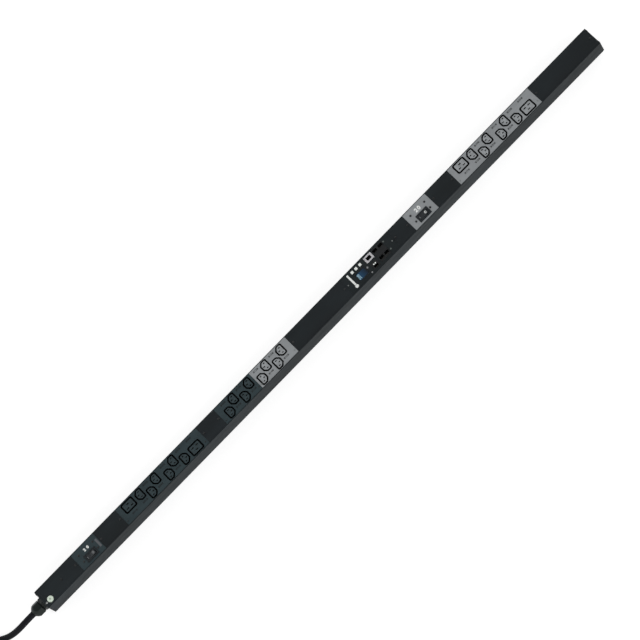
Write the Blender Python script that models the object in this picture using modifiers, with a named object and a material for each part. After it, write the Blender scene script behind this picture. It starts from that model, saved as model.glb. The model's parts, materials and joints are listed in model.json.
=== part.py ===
"""Vertical rack power strip: a long steel channel of modules, with its supply cord and plug.

The strip lies on its back.  +X runs along it, away from the cord, +Z points out of the
outlet face, and the floor is z = 0.  Units are metres.
"""

import math

import bmesh
import bpy
from mathutils import Matrix, Vector

MM = 0.001

# ---- driving dimensions -------------------------------------------------------------
LENGTH = 1800 * MM
WIDTH = 52 * MM
DEPTH = 53 * MM
STANDOFF = 7 * MM  # how far the mounting pegs hold the back off a rack
WALL = 1.5 * MM  # sheet of the channel
PLATE = 2 * MM  # thickness of the front plates and bezels
GAP = 0.3 * MM  # running gap between neighbours
END_CAP = 2.5 * MM
PEG_PITCH = 1556 * MM
PAST = 5 * MM  # how far a cutter runs past the face that it cuts through

FACE_Z = STANDOFF + DEPTH
PLATE_Z = FACE_Z - PLATE
HALF_IN = WIDTH / 2 - WALL  # inside half width of the channel
HALF_PLATE = HALF_IN - GAP
CORD_END = -LENGTH / 2
INSIDE_END = LENGTH / 2 - END_CAP
GLAND_Z = STANDOFF + DEPTH / 2

# ---- where each front module ends, as a distance from the cord end -------------------
ENDS = {
    "blank_plate_1": 118.0,
    "breaker_bezel_1": 190.2,
    "blank_plate_2": 263.9,
    "outlet_bezel_1": 526.5,
    "blank_plate_3": 584.7,
    "outlet_bezel_2": 700.2,
    "outlet_bezel_3": 816.9,
    "blank_plate_4": 997.7,
    "meter_bezel": 1150.6,
    "blank_plate_5": 1201.8,
    "breaker_bezel_2": 1274.6,
    "blank_plate_6": 1347.7,
    "outlet_bezel_4": 1610.9,
    "blank_plate_7": 1800.0,
}
EARTH_X = CORD_END + 17.8 * MM
EARTH_Y = -13.6 * MM
EARTH_HOLE_R = 2.9 * MM
PEG_HOLE_R = 2.6 * MM

# ---- outlets ------------------------------------------------------------------------
# Each outlet is (kind, distance from its bezel's cord-side end, row), row +1 at +Y.
LONG_BANK = (
    ("c19", 31.0, 1),
    ("c13", 65.2, 1),
    ("c13", 91.3, -1),
    ("c13", 115.0, 1),
    ("c13", 148.0, -1),
    ("c13", 171.7, 1),
    ("c13", 197.8, -1),
    ("c19", 232.0, -1),
)
LONG_GROUPS = ((0,), (1,), (2, 3), (4, 5), (6,), (7,))
SHORT_BANK_A = (("c13", 25.1, -1), ("c13", 48.4, 1), ("c13", 74.7, -1), ("c13", 98.2, 1))
SHORT_BANK_B = (("c13", 16.2, -1), ("c13", 39.3, 1), ("c13", 66.0, -1), ("c13", 88.6, 1))
SHORT_GROUPS = ((0, 1), (2, 3))
BANKS = {
    "outlet_bezel_1": ("bank_1", LONG_BANK, LONG_GROUPS),
    "outlet_bezel_2": ("bank_2", SHORT_BANK_A, SHORT_GROUPS),
    "outlet_bezel_3": ("bank_3", SHORT_BANK_B, SHORT_GROUPS),
    "outlet_bezel_4": ("bank_4", LONG_BANK, LONG_GROUPS),
}
ROW_Y = {"c13": 8.6 * MM, "c19": 9.3 * MM}
# Outlines of the well and of the core that stands in it: X, Y, the cut across the small
# outlet's two keyed corners, and the radius of every corner.
WELL = {
    "c13": (22.6 * MM, 29.6 * MM, 8.4 * MM, 4.0 * MM),
    "c19": (36.0 * MM, 27.6 * MM, 0.0, 4.4 * MM),
}
CORE = {
    "c13": (14.8 * MM, 21.8 * MM, 6.1 * MM, 1.6 * MM),
    "c19": (27.8 * MM, 19.4 * MM, 0.0, 2.0 * MM),
}
WELL_DEPTH = 16 * MM
SLOT_DEPTH = 13 * MM
CORE_ROOT = 1 * MM  # how far a core reaches into its well's floor
HOUSING_DEPTH = 22 * MM
HOUSING_RIM = 1.0 * MM  # housing wall outside the well
# Contact slots, (x, y, size x, size y) about the outlet's centre for a +Y outlet, in mm.
SLOTS = {
    "c13": ((1.8, 7.0, 4.6, 2.4), (1.8, -7.0, 4.6, 2.4), (-3.2, 0.0, 4.6, 2.4)),
    "c19": ((-6.5, -4.2, 6.6, 2.6), (6.5, -4.2, 6.6, 2.6), (0.0, 4.4, 6.6, 2.6)),
}

# ---- breakers -----------------------------------------------------------------------
BREAKER_FROM_END = 37.4 * MM  # breaker's middle from its bezel's cord-side end
BREAKER_Y = -9.6 * MM
BREAKER_SIZE = (35.4 * MM, 21.0 * MM)
BREAKER_DEPTH = 42 * MM
BREAKER_PROUD = 0.6 * MM
ROCKER_R = 12.0 * MM  # from the pivot to the rocker's ends
ROCKER_HALF_W = 5.0 * MM
ROCKER_TILT = math.radians(10)
ROCKER_PIVOT_Z = FACE_Z - 2.2 * MM
ROCKER_CLEAR = 0.5 * MM
POCKET_DEPTH = 7.5 * MM  # below the pivot

# ---- meter and communication module -------------------------------------------------
BUTTON_X = (1030.3, 1042.8, 1055.6)
BUTTON_Y = 15.6 * MM
BUTTON_SIZE = 6.6 * MM
BUTTON_PROUD = 1.2 * MM
BUTTON_FOOT_Z = PLATE_Z - 3.5 * MM  # underside of a button's wider foot
DISPLAY = (1029.6, 1059.3, -15.1, 6.7)  # from, to along the strip, then Y low and high
SHIELD_JACK = (1069.2, 1092.6, 4.0, 20.6)
SENSOR_JACK = (1070.6, 1091.2, -18.8, -0.8)
LINK_JACK = (1095.2, 1126.8, -18.6, 20.2)
SHIELD_PORT = (13.0 * MM, 9.0 * MM)
SENSOR_PORT = (12.0 * MM, 6.8 * MM)
SENSOR_PORT_Y = -4.2  # below the middle of its jack, which has two lamps above it
LINK_PORTS = ((-8.6, 13.2), (8.6, 13.2), (-8.0, -9.8), (8.0, -9.8))  # about the block
LINK_PORT = (11.8 * MM, 8.0 * MM)
JACK_DEPTH = 16 * MM
PORT_DEPTH = 12 * MM
BOARD_Z = 40 * MM

# ---- gland --------------------------------------------------------------------------
GLAND_HEX_R = 16.8 * MM  # to the corners of the body's hexagon
GLAND_HEX_DEPTH = 7.8 * MM
GLAND_HOLE_R = 12.6 * MM
GLAND_THREAD_R = 12.2 * MM
GLAND_SPIGOT_R = 11 * MM
NUT_R = 17 * MM
NUT_BACK = 10.6 * MM  # the dome nut's rim, from the end cap
NUT_FRONT = 36 * MM  # where the cord leaves it

# ---- supply cord --------------------------------------------------------------------
CORD_D = 15 * MM
CORD_R = CORD_D / 2
TURN_INNER = 45 * MM
TURN_OUTER = 60 * MM
HANK_RUN = 220 * MM  # straight part of each turn
HANK_X = -1132 * MM  # middle of the hank's near round end
HANK_Y = -22 * MM
TIE = 1.0 * MM  # thickness of the strap round the hank
HANK_BASE = TIE + GAP
PLUG_R = 24 * MM
PLUG_LENGTH = 64 * MM
PLUG_FACE = 8 * MM  # thickness of the insert that holds the blades
BLADE_CIRCLE = 13 * MM
TIE_WIDTH = 14 * MM
# The cord's route to the hank: a list of (x, y, z), in mm.
LEAD_ROUTE = (
    (-936.8, 0.0, 33.5),
    (-952.0, 0.0, 33.5),
    (-968.0, 0.3, 31.6),
    (-984.0, 1.6, 27.2),
    (-1000.0, 4.8, 21.0),
    (-1015.0, 10.2, 14.8),
    (-1028.0, 17.4, 10.4),
    (-1040.0, 24.8, 8.6),
    (-1054.0, 31.6, 8.0),
    (-1069.0, 35.8, 8.0),
    (-1085.0, 37.6, 8.4),
)
# The cord's route from the hank's inner turn to the plug, in mm.
TAIL_ROUTE = (
    (-1311.0, -50.8, 9.6),
    (-1297.0, -36.4, 12.4),
    (-1282.0, -27.0, 17.2),
    (-1268.0, -22.8, 21.6),
    (-1256.0, -22.0, 23.8),
    (-1244.0, -22.0, 24.0),
)
PLUG_START_X = TAIL_ROUTE[-1][0] * MM + GAP

BLACK_STEEL = ("black_steel", (0.014, 0.018, 0.020), 0.55, 0.0)
SIDE_STEEL = ("channel_steel", (0.042, 0.054, 0.054), 0.5, 0.0)
DARK_GREY = ("dark_grey_panel", (0.054, 0.073, 0.080), 0.55, 0.0)
LIGHT_GREY = ("light_grey_panel", (0.305, 0.319, 0.328), 0.5, 0.0)
BLACK_PLASTIC = ("black_plastic", (0.008, 0.009, 0.010), 0.5, 0.0)
WHITE_PLASTIC = ("white_plastic", (0.80, 0.84, 0.80), 0.4, 0.0)
DISPLAY_BLUE = ("display_blue", (0.010, 0.045, 0.127), 0.15, 0.0)
ZINC = ("zinc", (0.58, 0.62, 0.55), 0.35, 0.9)
COPPER = ("copper", (0.72, 0.33, 0.16), 0.35, 0.9)
BOARD_GREEN = ("board_green", (0.02, 0.11, 0.05), 0.5, 0.0)
CORD_RUBBER = ("cord_rubber", (0.012, 0.013, 0.013), 0.6, 0.0)


def clear_scene():
    """Remove whatever the file holds."""
    for obj in list(bpy.data.objects):
        bpy.data.objects.remove(obj)


def make_collection(name):
    """Return a new collection linked to the scene."""
    collection = bpy.data.collections.new(name)
    bpy.context.scene.collection.children.link(collection)
    return collection


def material(spec):
    """Return the plain material of a spec, made once."""
    name, colour, roughness, metallic = spec
    found = bpy.data.materials.get(name)
    if found:
        return found
    made = bpy.data.materials.new(name)
    made.use_nodes = True
    shader = made.node_tree.nodes["Principled BSDF"]
    shader.inputs["Base Color"].default_value = (*colour, 1)
    shader.inputs["Roughness"].default_value = roughness
    shader.inputs["Metallic"].default_value = metallic
    made.diffuse_color = (*colour, 1)
    return made


def add_object(name, mesh, spec=None):
    """Link a mesh as a named part, or as a cutter when it has no material."""
    obj = bpy.data.objects.new(name, mesh)
    if spec is None:
        CUTTERS.objects.link(obj)
        obj.hide_render = True
        obj.display_type = "WIRE"
    else:
        PARTS.objects.link(obj)
        mesh.materials.append(material(spec))
    return obj


def box(name, low, high, spec=None):
    """A box between two corners."""
    bm = bmesh.new()
    bmesh.ops.create_cube(bm, size=1)
    low = Vector(low)
    size = Vector(high) - low
    centre = low + size / 2
    bmesh.ops.scale(bm, vec=size, verts=bm.verts)
    mesh = bpy.data.meshes.new(name)
    bm.to_mesh(mesh)
    bm.free()
    obj = add_object(name, mesh, spec)
    obj.location = centre
    return obj


def cylinder(name, centre, axis, radius, length, spec=None, segments=24):
    """A cylinder centred on a point, along an axis."""
    bm = bmesh.new()
    bmesh.ops.create_cone(
        bm, cap_ends=True, segments=segments, radius1=radius, radius2=radius, depth=length
    )
    mesh = bpy.data.meshes.new(name)
    bm.to_mesh(mesh)
    bm.free()
    obj = add_object(name, mesh, spec)
    obj.location = centre
    obj.rotation_euler = Vector(axis).to_track_quat("Z", "Y").to_euler()
    return obj


def prism(name, outline, low_z, high_z, spec=None):
    """A flat outline of (x, y) points, extruded between two heights."""
    curve = bpy.data.curves.new(name, "CURVE")
    curve.dimensions = "2D"
    curve.fill_mode = "BOTH"
    curve.extrude = (high_z - low_z) / 2
    spline = curve.splines.new("POLY")
    spline.points.add(len(outline) - 1)
    for point, (x, y) in zip(spline.points, outline):
        point.co = (x, y, 0, 1)
    spline.use_cyclic_u = True
    return curve_to_mesh(name, curve, Matrix.Translation((0, 0, (low_z + high_z) / 2)), spec)


def curve_to_mesh(name, curve, matrix, spec):
    """Turn a curve into a welded mesh object that stands where the curve stood."""
    guide = bpy.data.objects.new(name + "_curve", curve)
    CUTTERS.objects.link(guide)
    guide.matrix_world = matrix
    bpy.context.view_layer.update()
    graph = bpy.context.evaluated_depsgraph_get()
    mesh = bpy.data.meshes.new_from_object(guide.evaluated_get(graph))
    mesh.name = name
    mesh.materials.clear()
    bm = bmesh.new()
    bm.from_mesh(mesh)
    bmesh.ops.remove_doubles(bm, verts=bm.verts, dist=0.00002)
    bmesh.ops.recalc_face_normals(bm, faces=bm.faces)
    bm.to_mesh(mesh)
    bm.free()
    bpy.data.objects.remove(guide)
    obj = add_object(name, mesh, spec)
    obj.matrix_world = matrix
    return obj


def turned(name, profile, start, spec, steps=32):
    """A profile of (distance along -X, radius) points, turned about the X axis at start."""
    mesh = bpy.data.meshes.new(name)
    points = [(radius, 0, -along) for along, radius in profile]
    edges = [(i, i + 1) for i in range(len(points) - 1)]
    mesh.from_pydata(points, edges, [])
    obj = add_object(name, mesh, spec)
    screw = obj.modifiers.new("turn", "SCREW")
    screw.steps = steps
    screw.render_steps = steps
    screw.use_merge_vertices = True
    screw.merge_threshold = 0.00002
    obj.rotation_euler = (0, math.radians(90), 0)
    obj.location = start
    return obj


def cut(obj, cutters, operation="DIFFERENCE"):
    """Cut an object with others, or join them to it."""
    for index, cutter in enumerate(cutters):
        boolean = obj.modifiers.new(f"{operation.lower()}_{index}", "BOOLEAN")
        boolean.operation = operation
        boolean.solver = "EXACT"
        boolean.object = cutter


def along(distance_mm):
    """World X of a distance in mm from the cord end."""
    return CORD_END + distance_mm * MM


def module_span(name):
    """World X of a front module's two ends, with a running gap at each."""
    names = list(ENDS)
    index = names.index(name)
    start = along(ENDS[names[index - 1]]) if index else -INSIDE_END
    end = min(along(ENDS[name]), INSIDE_END)
    return start + GAP / 2, end - GAP / 2


def outlet_outline(shape, centre, row):
    """Rounded outline of an outlet's well or core, its cut corners towards -X at +Y."""
    size_x, size_y, chamfer, radius = shape
    half_x = size_x / 2
    half_y = size_y / 2
    if chamfer:
        corners = [
            (half_x, -half_y),
            (half_x, half_y),
            (-half_x + chamfer, half_y),
            (-half_x, half_y - chamfer),
            (-half_x, -half_y + chamfer),
            (-half_x + chamfer, -half_y),
        ]
    else:
        corners = [(half_x, -half_y), (half_x, half_y), (-half_x, half_y), (-half_x, -half_y)]
    points = round_corners(corners, radius)
    return [(centre[0] + row * x, centre[1] + row * y) for x, y in points]


def round_corners(corners, radius, steps=2):
    """Replace each corner of a convex outline by a short arc."""
    points = []
    count = len(corners)
    for index in range(count):
        here = Vector(corners[index])
        before = (Vector(corners[index - 1]) - here).normalized()
        after = (Vector(corners[(index + 1) % count]) - here).normalized()
        half = before.angle(after) / 2
        back = radius / math.tan(half)
        middle = here + (before + after).normalized() * (radius / math.sin(half))
        start = (here + before * back - middle).normalized()
        end = (here + after * back - middle).normalized()
        for step in range(steps + 1):
            points.append(tuple(middle + radius * start.slerp(end, step / steps)))
    return points


# ---- the channel and its ends -------------------------------------------------------
def build_chassis():
    """The long U channel: floor and side walls, open at the face and at both ends."""
    half = INSIDE_END - GAP
    chassis = box("chassis", (-half, -WIDTH / 2, STANDOFF), (half, WIDTH / 2, FACE_Z), SIDE_STEEL)
    inside = box(
        "chassis_inside",
        (-half - PAST, -HALF_IN, STANDOFF + WALL),
        (half + PAST, HALF_IN, FACE_Z + PAST),
    )
    holes = []
    for side in (-1, 1):
        middle = (side * PEG_PITCH / 2, 0, STANDOFF)
        holes.append(cylinder(f"peg_hole_{side}", middle, (0, 0, 1), PEG_HOLE_R, 2 * PAST))
    cut(chassis, [inside, *holes])


def build_end_caps():
    """The two end plates, the cord's one with a hole for the gland's thread."""
    for name, side in (("end_cap_cord", -1), ("end_cap_far", 1)):
        ends = sorted((side * INSIDE_END, side * LENGTH / 2))
        cap = box(name, (ends[0], -WIDTH / 2, STANDOFF), (ends[1], WIDTH / 2, FACE_Z), BLACK_STEEL)
        bevel = cap.modifiers.new("edges", "BEVEL")
        bevel.width = 0.6 * MM
        bevel.segments = 1
        if side < 0:
            hole = cylinder("gland_hole", (ends[0], 0, GLAND_Z), (1, 0, 0), GLAND_HOLE_R, 4 * PAST)
            cut(cap, [hole])


def build_pegs():
    """Two rear mounting buttons: a flat head, a neck and a shank through the channel."""
    for name, side in (("rear_peg_cord_end", -1), ("rear_peg_far_end", 1)):
        profile = (
            (0, 0),
            (0, 7.0 * MM),
            (2.6 * MM, 7.0 * MM),
            (3.0 * MM, 6.6 * MM),
            (3.0 * MM, 3.4 * MM),
            (STANDOFF - GAP, 3.4 * MM),
            (STANDOFF - GAP, 2.2 * MM),
            (STANDOFF + 4.0 * MM, 2.2 * MM),
            (STANDOFF + 4.0 * MM, 0),
        )
        mesh_profile = [(-height, radius) for height, radius in reversed(profile)]
        peg = turned(name, mesh_profile, (side * PEG_PITCH / 2, 0, 0), ZINC, 24)
        peg.rotation_euler = (0, 0, 0)


def plate(name, spec):
    """A front plate or bezel flush with the channel's walls."""
    start, end = module_span(name)
    return box(name, (start, -HALF_PLATE, PLATE_Z), (end, HALF_PLATE, FACE_Z), spec)


def build_blank_plates():
    """Plain plates between the modules; the first has the earth screw's hole."""
    for name in ENDS:
        if name.startswith("blank_plate"):
            blank = plate(name, BLACK_STEEL)
            if name == "blank_plate_1":
                place = (EARTH_X, EARTH_Y, FACE_Z)
                hole = cylinder("earth_hole", place, (0, 0, 1), EARTH_HOLE_R, 2 * PAST)
                cut(blank, [hole])


def build_earth_screw():
    """The protective-earth screw: a domed head over the first blank plate."""
    profile = (
        (4.2 * MM, 0),
        (4.2 * MM, 3.0 * MM),
        (3.4 * MM, 5.4 * MM),
        (1.6 * MM, 6.8 * MM),
        (GAP, 7.0 * MM),
        (GAP, 2.6 * MM),
        (-12 * MM, 2.6 * MM),
        (-12 * MM, 0),
    )
    upward = [(-height, radius) for height, radius in profile]
    screw = turned("earth_screw", upward, (EARTH_X, EARTH_Y, FACE_Z), ZINC, 24)
    screw.rotation_euler = (0, 0, 0)


# ---- outlets ------------------------------------------------------------------------
def outlet_place(bezel, outlet):
    """World (x, y) of an outlet's centre."""
    kind, distance, row = outlet
    start = along(ENDS[list(ENDS)[list(ENDS).index(bezel) - 1]])
    return start + distance * MM, row * ROW_Y[kind]


def build_bezel(bezel, spec):
    """A bank's front plate with one window for each outlet."""
    panel = plate(bezel, spec)
    windows = []
    for index, outlet in enumerate(BANKS[bezel][1]):
        kind = outlet[0]
        outline = outlet_outline(WELL[kind], outlet_place(bezel, outlet), outlet[2])
        window = prism(f"{bezel}_window_{index}", outline, PLATE_Z - PAST, FACE_Z + PAST)
        windows.append(window)
    cut(panel, windows)


def build_outlet_group(bezel, outlets, name):
    """One moulding with the wells, cores and contact slots of its outlets."""
    boxes = []
    for outlet in outlets:
        x, y = outlet_place(bezel, outlet)
        half_x = WELL[outlet[0]][0] / 2 + HOUSING_RIM
        half_y = WELL[outlet[0]][1] / 2 + HOUSING_RIM
        boxes.append((x - half_x, x + half_x, y - half_y, y + half_y))
    top = PLATE_Z - GAP
    low_y = max(min(each[2] for each in boxes), -HALF_PLATE)
    high_y = min(max(each[3] for each in boxes), HALF_PLATE)
    low = (min(each[0] for each in boxes), low_y, top - HOUSING_DEPTH)
    high = (max(each[1] for each in boxes), high_y, top)
    housing = box(name, low, high, BLACK_PLASTIC)
    wells = []
    cores = []
    slots = []
    for index, outlet in enumerate(outlets):
        kind = outlet[0]
        centre = outlet_place(bezel, outlet)
        well = outlet_outline(WELL[kind], centre, outlet[2])
        core = outlet_outline(CORE[kind], centre, outlet[2])
        floor = FACE_Z - WELL_DEPTH
        wells.append(prism(f"{name}_well_{index}", well, floor, FACE_Z + PAST))
        cores.append(prism(f"{name}_core_{index}", core, floor - CORE_ROOT, FACE_Z))
        for slot_index, (x, y, size_x, size_y) in enumerate(SLOTS[kind]):
            middle = Vector((centre[0] + outlet[2] * x * MM, centre[1] + outlet[2] * y * MM, 0))
            half = Vector((size_x / 2 * MM, size_y / 2 * MM, 0))
            low = middle - half + Vector((0, 0, FACE_Z - SLOT_DEPTH))
            high = middle + half + Vector((0, 0, FACE_Z + PAST))
            slots.append(box(f"{name}_slot_{index}_{slot_index}", low, high))
    cut(housing, wells)
    cut(housing, cores, "UNION")
    cut(housing, slots)


def outlet_names(bank, outlets, groups):
    """Node name of each group of outlets in a bank."""
    counts = {"c19": 0, "c13": 0, "c13_pair": 0}
    named = []
    for group in groups:
        kind = outlets[group[0]][0] + ("_pair" if len(group) == 2 else "")
        counts[kind] += 1
        named.append((f"{bank}_{kind}_{counts[kind]}", [outlets[i] for i in group]))
    return named


def build_banks():
    """The four outlet banks."""
    colours = {
        "outlet_bezel_1": DARK_GREY,
        "outlet_bezel_2": DARK_GREY,
        "outlet_bezel_3": LIGHT_GREY,
        "outlet_bezel_4": LIGHT_GREY,
    }
    for bezel, (bank, outlets, groups) in BANKS.items():
        build_bezel(bezel, colours[bezel])
        for name, members in outlet_names(bank, outlets, groups):
            build_outlet_group(bezel, members, name)


# ---- breakers -----------------------------------------------------------------------
def rocker_profile():
    """The rocker's side outline about its pivot, as (along, up) points."""
    slope = math.tan(ROCKER_TILT)
    dip = 3.0 * MM
    reach = ROCKER_R * 0.955
    top_angle = math.atan2(dip + reach * slope, reach)
    low_angle = -math.radians(14)
    steps = 4
    right = [
        (ROCKER_R * math.cos(a), ROCKER_R * math.sin(a))
        for a in (top_angle + (low_angle - top_angle) * i / steps for i in range(steps + 1))
    ]
    left = [(-x, z) for x, z in reversed(right)]
    foot = (5.5 * MM, -5.0 * MM)
    return [(0, dip), *right, foot, (-foot[0], foot[1]), *left]


def build_breaker(number):
    """A hydraulic breaker behind its bezel, with a rocker on a cross pivot."""
    bezel_name = f"breaker_bezel_{number}"
    centre_x = module_span(bezel_name)[0] + BREAKER_FROM_END
    half_x = BREAKER_SIZE[0] / 2
    half_y = BREAKER_SIZE[1] / 2
    bezel = plate(bezel_name, DARK_GREY if number == 1 else LIGHT_GREY)
    window = box(
        f"{bezel_name}_window",
        (centre_x - half_x, BREAKER_Y - half_y, PLATE_Z - PAST),
        (centre_x + half_x, BREAKER_Y + half_y, FACE_Z + PAST),
    )
    cut(bezel, [window])

    low = (centre_x - half_x + GAP, BREAKER_Y - half_y + GAP, FACE_Z - BREAKER_DEPTH)
    high = (centre_x + half_x - GAP, BREAKER_Y + half_y - GAP, FACE_Z + BREAKER_PROUD)
    case = box(f"breaker_case_{number}", low, high, BLACK_PLASTIC)
    pocket_x = ROCKER_R + ROCKER_CLEAR
    pocket_y = ROCKER_HALF_W + ROCKER_CLEAR
    pocket = box(
        f"breaker_pocket_{number}",
        (centre_x - pocket_x, BREAKER_Y - pocket_y, ROCKER_PIVOT_Z - POCKET_DEPTH),
        (centre_x + pocket_x, BREAKER_Y + pocket_y, FACE_Z + PAST),
    )
    cut(case, [pocket])

    stand = Matrix.Translation((centre_x, BREAKER_Y, ROCKER_PIVOT_Z))
    tilt = Matrix.Rotation(-ROCKER_TILT, 4, "Y")
    upright = Matrix.Rotation(math.radians(90), 4, "X")
    outline = rocker_profile()
    rocker = prism(f"breaker_rocker_{number}", outline, -ROCKER_HALF_W, ROCKER_HALF_W, BLACK_PLASTIC)
    rocker.matrix_world = stand @ tilt @ upright


# ---- meter and communication module -------------------------------------------------
def jack(name, place, ports, port_size, spec):
    """A jack block in the meter bezel, with a square port for each connector."""
    start, end, low_y, high_y = along(place[0]), along(place[1]), place[2] * MM, place[3] * MM
    body = box(
        name,
        (start + GAP, low_y + GAP, FACE_Z - JACK_DEPTH),
        (end - GAP, high_y - GAP, FACE_Z + 0.4 * MM),
        spec,
    )
    centre = Vector(((start + end) / 2, (low_y + high_y) / 2, 0))
    mouths = []
    for index, (x, y) in enumerate(ports):
        middle = centre + Vector((x * MM, y * MM, 0))
        half = Vector((port_size[0] / 2, port_size[1] / 2, 0))
        mouths.append(
            box(
                f"{name}_port_{index}",
                middle - half + Vector((0, 0, FACE_Z - PORT_DEPTH)),
                middle + half + Vector((0, 0, FACE_Z + PAST)),
            )
        )
    cut(body, mouths)


def build_meter_module():
    """Bezel, display window, three buttons, jacks and the board behind them."""
    bezel = plate("meter_bezel", BLACK_PLASTIC)
    windows = []
    for index, place in enumerate((DISPLAY, SHIELD_JACK, SENSOR_JACK, LINK_JACK)):
        low = (along(place[0]), place[2] * MM, PLATE_Z - PAST)
        high = (along(place[1]), place[3] * MM, FACE_Z + PAST)
        windows.append(box(f"meter_window_{index}", low, high))
    hole = BUTTON_SIZE / 2 + GAP
    for index, distance in enumerate(BUTTON_X):
        x = along(distance)
        low = (x - hole, BUTTON_Y - hole, PLATE_Z - PAST)
        high = (x + hole, BUTTON_Y + hole, FACE_Z + PAST)
        windows.append(box(f"button_hole_{index}", low, high))
    cut(bezel, windows)

    box(
        "display_window",
        (along(DISPLAY[0]) + GAP, DISPLAY[2] * MM + GAP, PLATE_Z - 1.5 * MM),
        (along(DISPLAY[1]) - GAP, DISPLAY[3] * MM - GAP, FACE_Z - 0.4 * MM),
        DISPLAY_BLUE,
    )
    for index, distance in enumerate(BUTTON_X):
        build_button(index + 1, along(distance))
    jack("shielded_jack", SHIELD_JACK, ((0, 0),), SHIELD_PORT, ZINC)
    jack("sensor_jack", SENSOR_JACK, ((0, SENSOR_PORT_Y),), SENSOR_PORT, BLACK_PLASTIC)
    jack("link_jack_block", LINK_JACK, LINK_PORTS, LINK_PORT, BLACK_PLASTIC)
    build_meter_board()


def build_button(number, x):
    """A square push button: a cap through the bezel and a wider foot behind it."""
    half = BUTTON_SIZE / 2
    foot = half + 0.8 * MM
    button = box(
        f"display_button_{number}",
        (x - half, BUTTON_Y - half, BUTTON_FOOT_Z + 0.5 * MM),
        (x + half, BUTTON_Y + half, FACE_Z + BUTTON_PROUD),
        WHITE_PLASTIC,
    )
    flange = box(
        f"button_flange_{number}",
        (x - foot, BUTTON_Y - foot, BUTTON_FOOT_Z),
        (x + foot, BUTTON_Y + foot, BUTTON_FOOT_Z + 1.3 * MM),
    )
    cut(button, [flange], "UNION")


def build_meter_board():
    """The circuit board, with a switch under each button."""
    start, end = module_span("meter_bezel")
    board = box(
        "meter_board",
        (start + 4 * MM, -HALF_PLATE + 1.5 * MM, BOARD_Z),
        (end - 4 * MM, HALF_PLATE - 1.5 * MM, BOARD_Z + 1.6 * MM),
        BOARD_GREEN,
    )
    switches = []
    for index, distance in enumerate(BUTTON_X):
        x = along(distance)
        low = (x - 3 * MM, BUTTON_Y - 3 * MM, BOARD_Z + 1 * MM)
        high = (x + 3 * MM, BUTTON_Y + 3 * MM, BUTTON_FOOT_Z - BUTTON_PROUD - 2 * GAP)
        switches.append(box(f"board_switch_{index}", low, high))
    cut(board, switches, "UNION")


# ---- wiring inside ------------------------------------------------------------------
def build_wiring():
    """Three busbars along the channel's floor and the terminal block that feeds them."""
    bar_low = STANDOFF + WALL + 3 * MM
    bar_high = bar_low + 6 * MM
    start = along(112)
    end = along(1640)
    for name, y in (("busbar_line", 9 * MM), ("busbar_neutral", 0.0), ("busbar_earth", -9 * MM)):
        box(name, (start, y - 1 * MM, bar_low), (end, y + 1 * MM, bar_high), COPPER)
    box(
        "terminal_block",
        (along(52), -18 * MM, STANDOFF + WALL + GAP),
        (start - GAP, 18 * MM, STANDOFF + WALL + 26 * MM),
        BLACK_PLASTIC,
    )


# ---- gland, cord and plug -----------------------------------------------------------
def build_gland():
    """The cord's entry: a hexagonal body threaded through the end cap, and its dome nut."""
    middle = (CORD_END - GAP - GLAND_HEX_DEPTH / 2, 0, GLAND_Z)
    body = cylinder("gland_body", middle, (1, 0, 0), GLAND_HEX_R, GLAND_HEX_DEPTH, BLACK_PLASTIC, 6)
    inside = (CORD_END + 4 * MM, 0, GLAND_Z)
    thread = cylinder("gland_thread", inside, (1, 0, 0), GLAND_THREAD_R, 14 * MM)
    outside = (CORD_END - 14 * MM, 0, GLAND_Z)
    spigot = cylinder("gland_spigot", outside, (1, 0, 0), GLAND_SPIGOT_R, 16 * MM)
    cut(body, [thread, spigot], "UNION")
    bore = GLAND_SPIGOT_R + GAP
    bore_end = 22 * MM + GAP
    profile = (
        (bore_end, 0),
        (bore_end, bore),
        (NUT_BACK, bore),
        (NUT_BACK, NUT_R - 0.6 * MM),
        (NUT_BACK + 0.8 * MM, NUT_R),
        (26 * MM, NUT_R),
        (30 * MM, 15.2 * MM),
        (33.5 * MM, 11.6 * MM),
        (NUT_FRONT, 8.6 * MM),
        (NUT_FRONT, 0),
    )
    turned("gland_nut", profile, (CORD_END, 0, GLAND_Z), BLACK_PLASTIC, 24)


def smooth_route(route, per_span=2):
    """Points of a smooth curve through the route's points (a Catmull-Rom curve)."""
    points = [Vector(point) * MM for point in route]
    padded = [2 * points[0] - points[1], *points, 2 * points[-1] - points[-2]]
    out = [points[0]]
    for index in range(len(points) - 1):
        p0, p1, p2, p3 = padded[index : index + 4]
        for step in range(1, per_span + 1):
            t = step / per_span
            value = (
                2 * p1
                + (p2 - p0) * t
                + (2 * p0 - 5 * p1 + 4 * p2 - p3) * t * t
                + (3 * p1 - p0 - 3 * p2 + p3) * t * t * t
            ) / 2
            out.append(value)
    return out


def tube(name, route, spec):
    """A cord's plain tube along a route."""
    curve = bpy.data.curves.new(name, "CURVE")
    curve.dimensions = "3D"
    curve.bevel_depth = CORD_R
    curve.bevel_resolution = 3
    curve.use_fill_caps = True
    points = smooth_route(route)
    spline = curve.splines.new("POLY")
    spline.points.add(len(points) - 1)
    for point, place in zip(spline.points, points):
        point.co = (*place, 1)
    return curve_to_mesh(name, curve, Matrix.Identity(4), spec)


def racetrack(radius, steps=14):
    """Outline of a straight run with round ends, about the hank's middle line."""
    points = []
    for side, centre_x in ((1, HANK_X), (-1, HANK_X - HANK_RUN)):
        for step in range(steps + 1):
            angle = math.radians(-90 + 180 * step / steps)
            x = centre_x + side * radius * math.cos(angle)
            points.append((x, HANK_Y + side * radius * math.sin(angle)))
    return points


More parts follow.
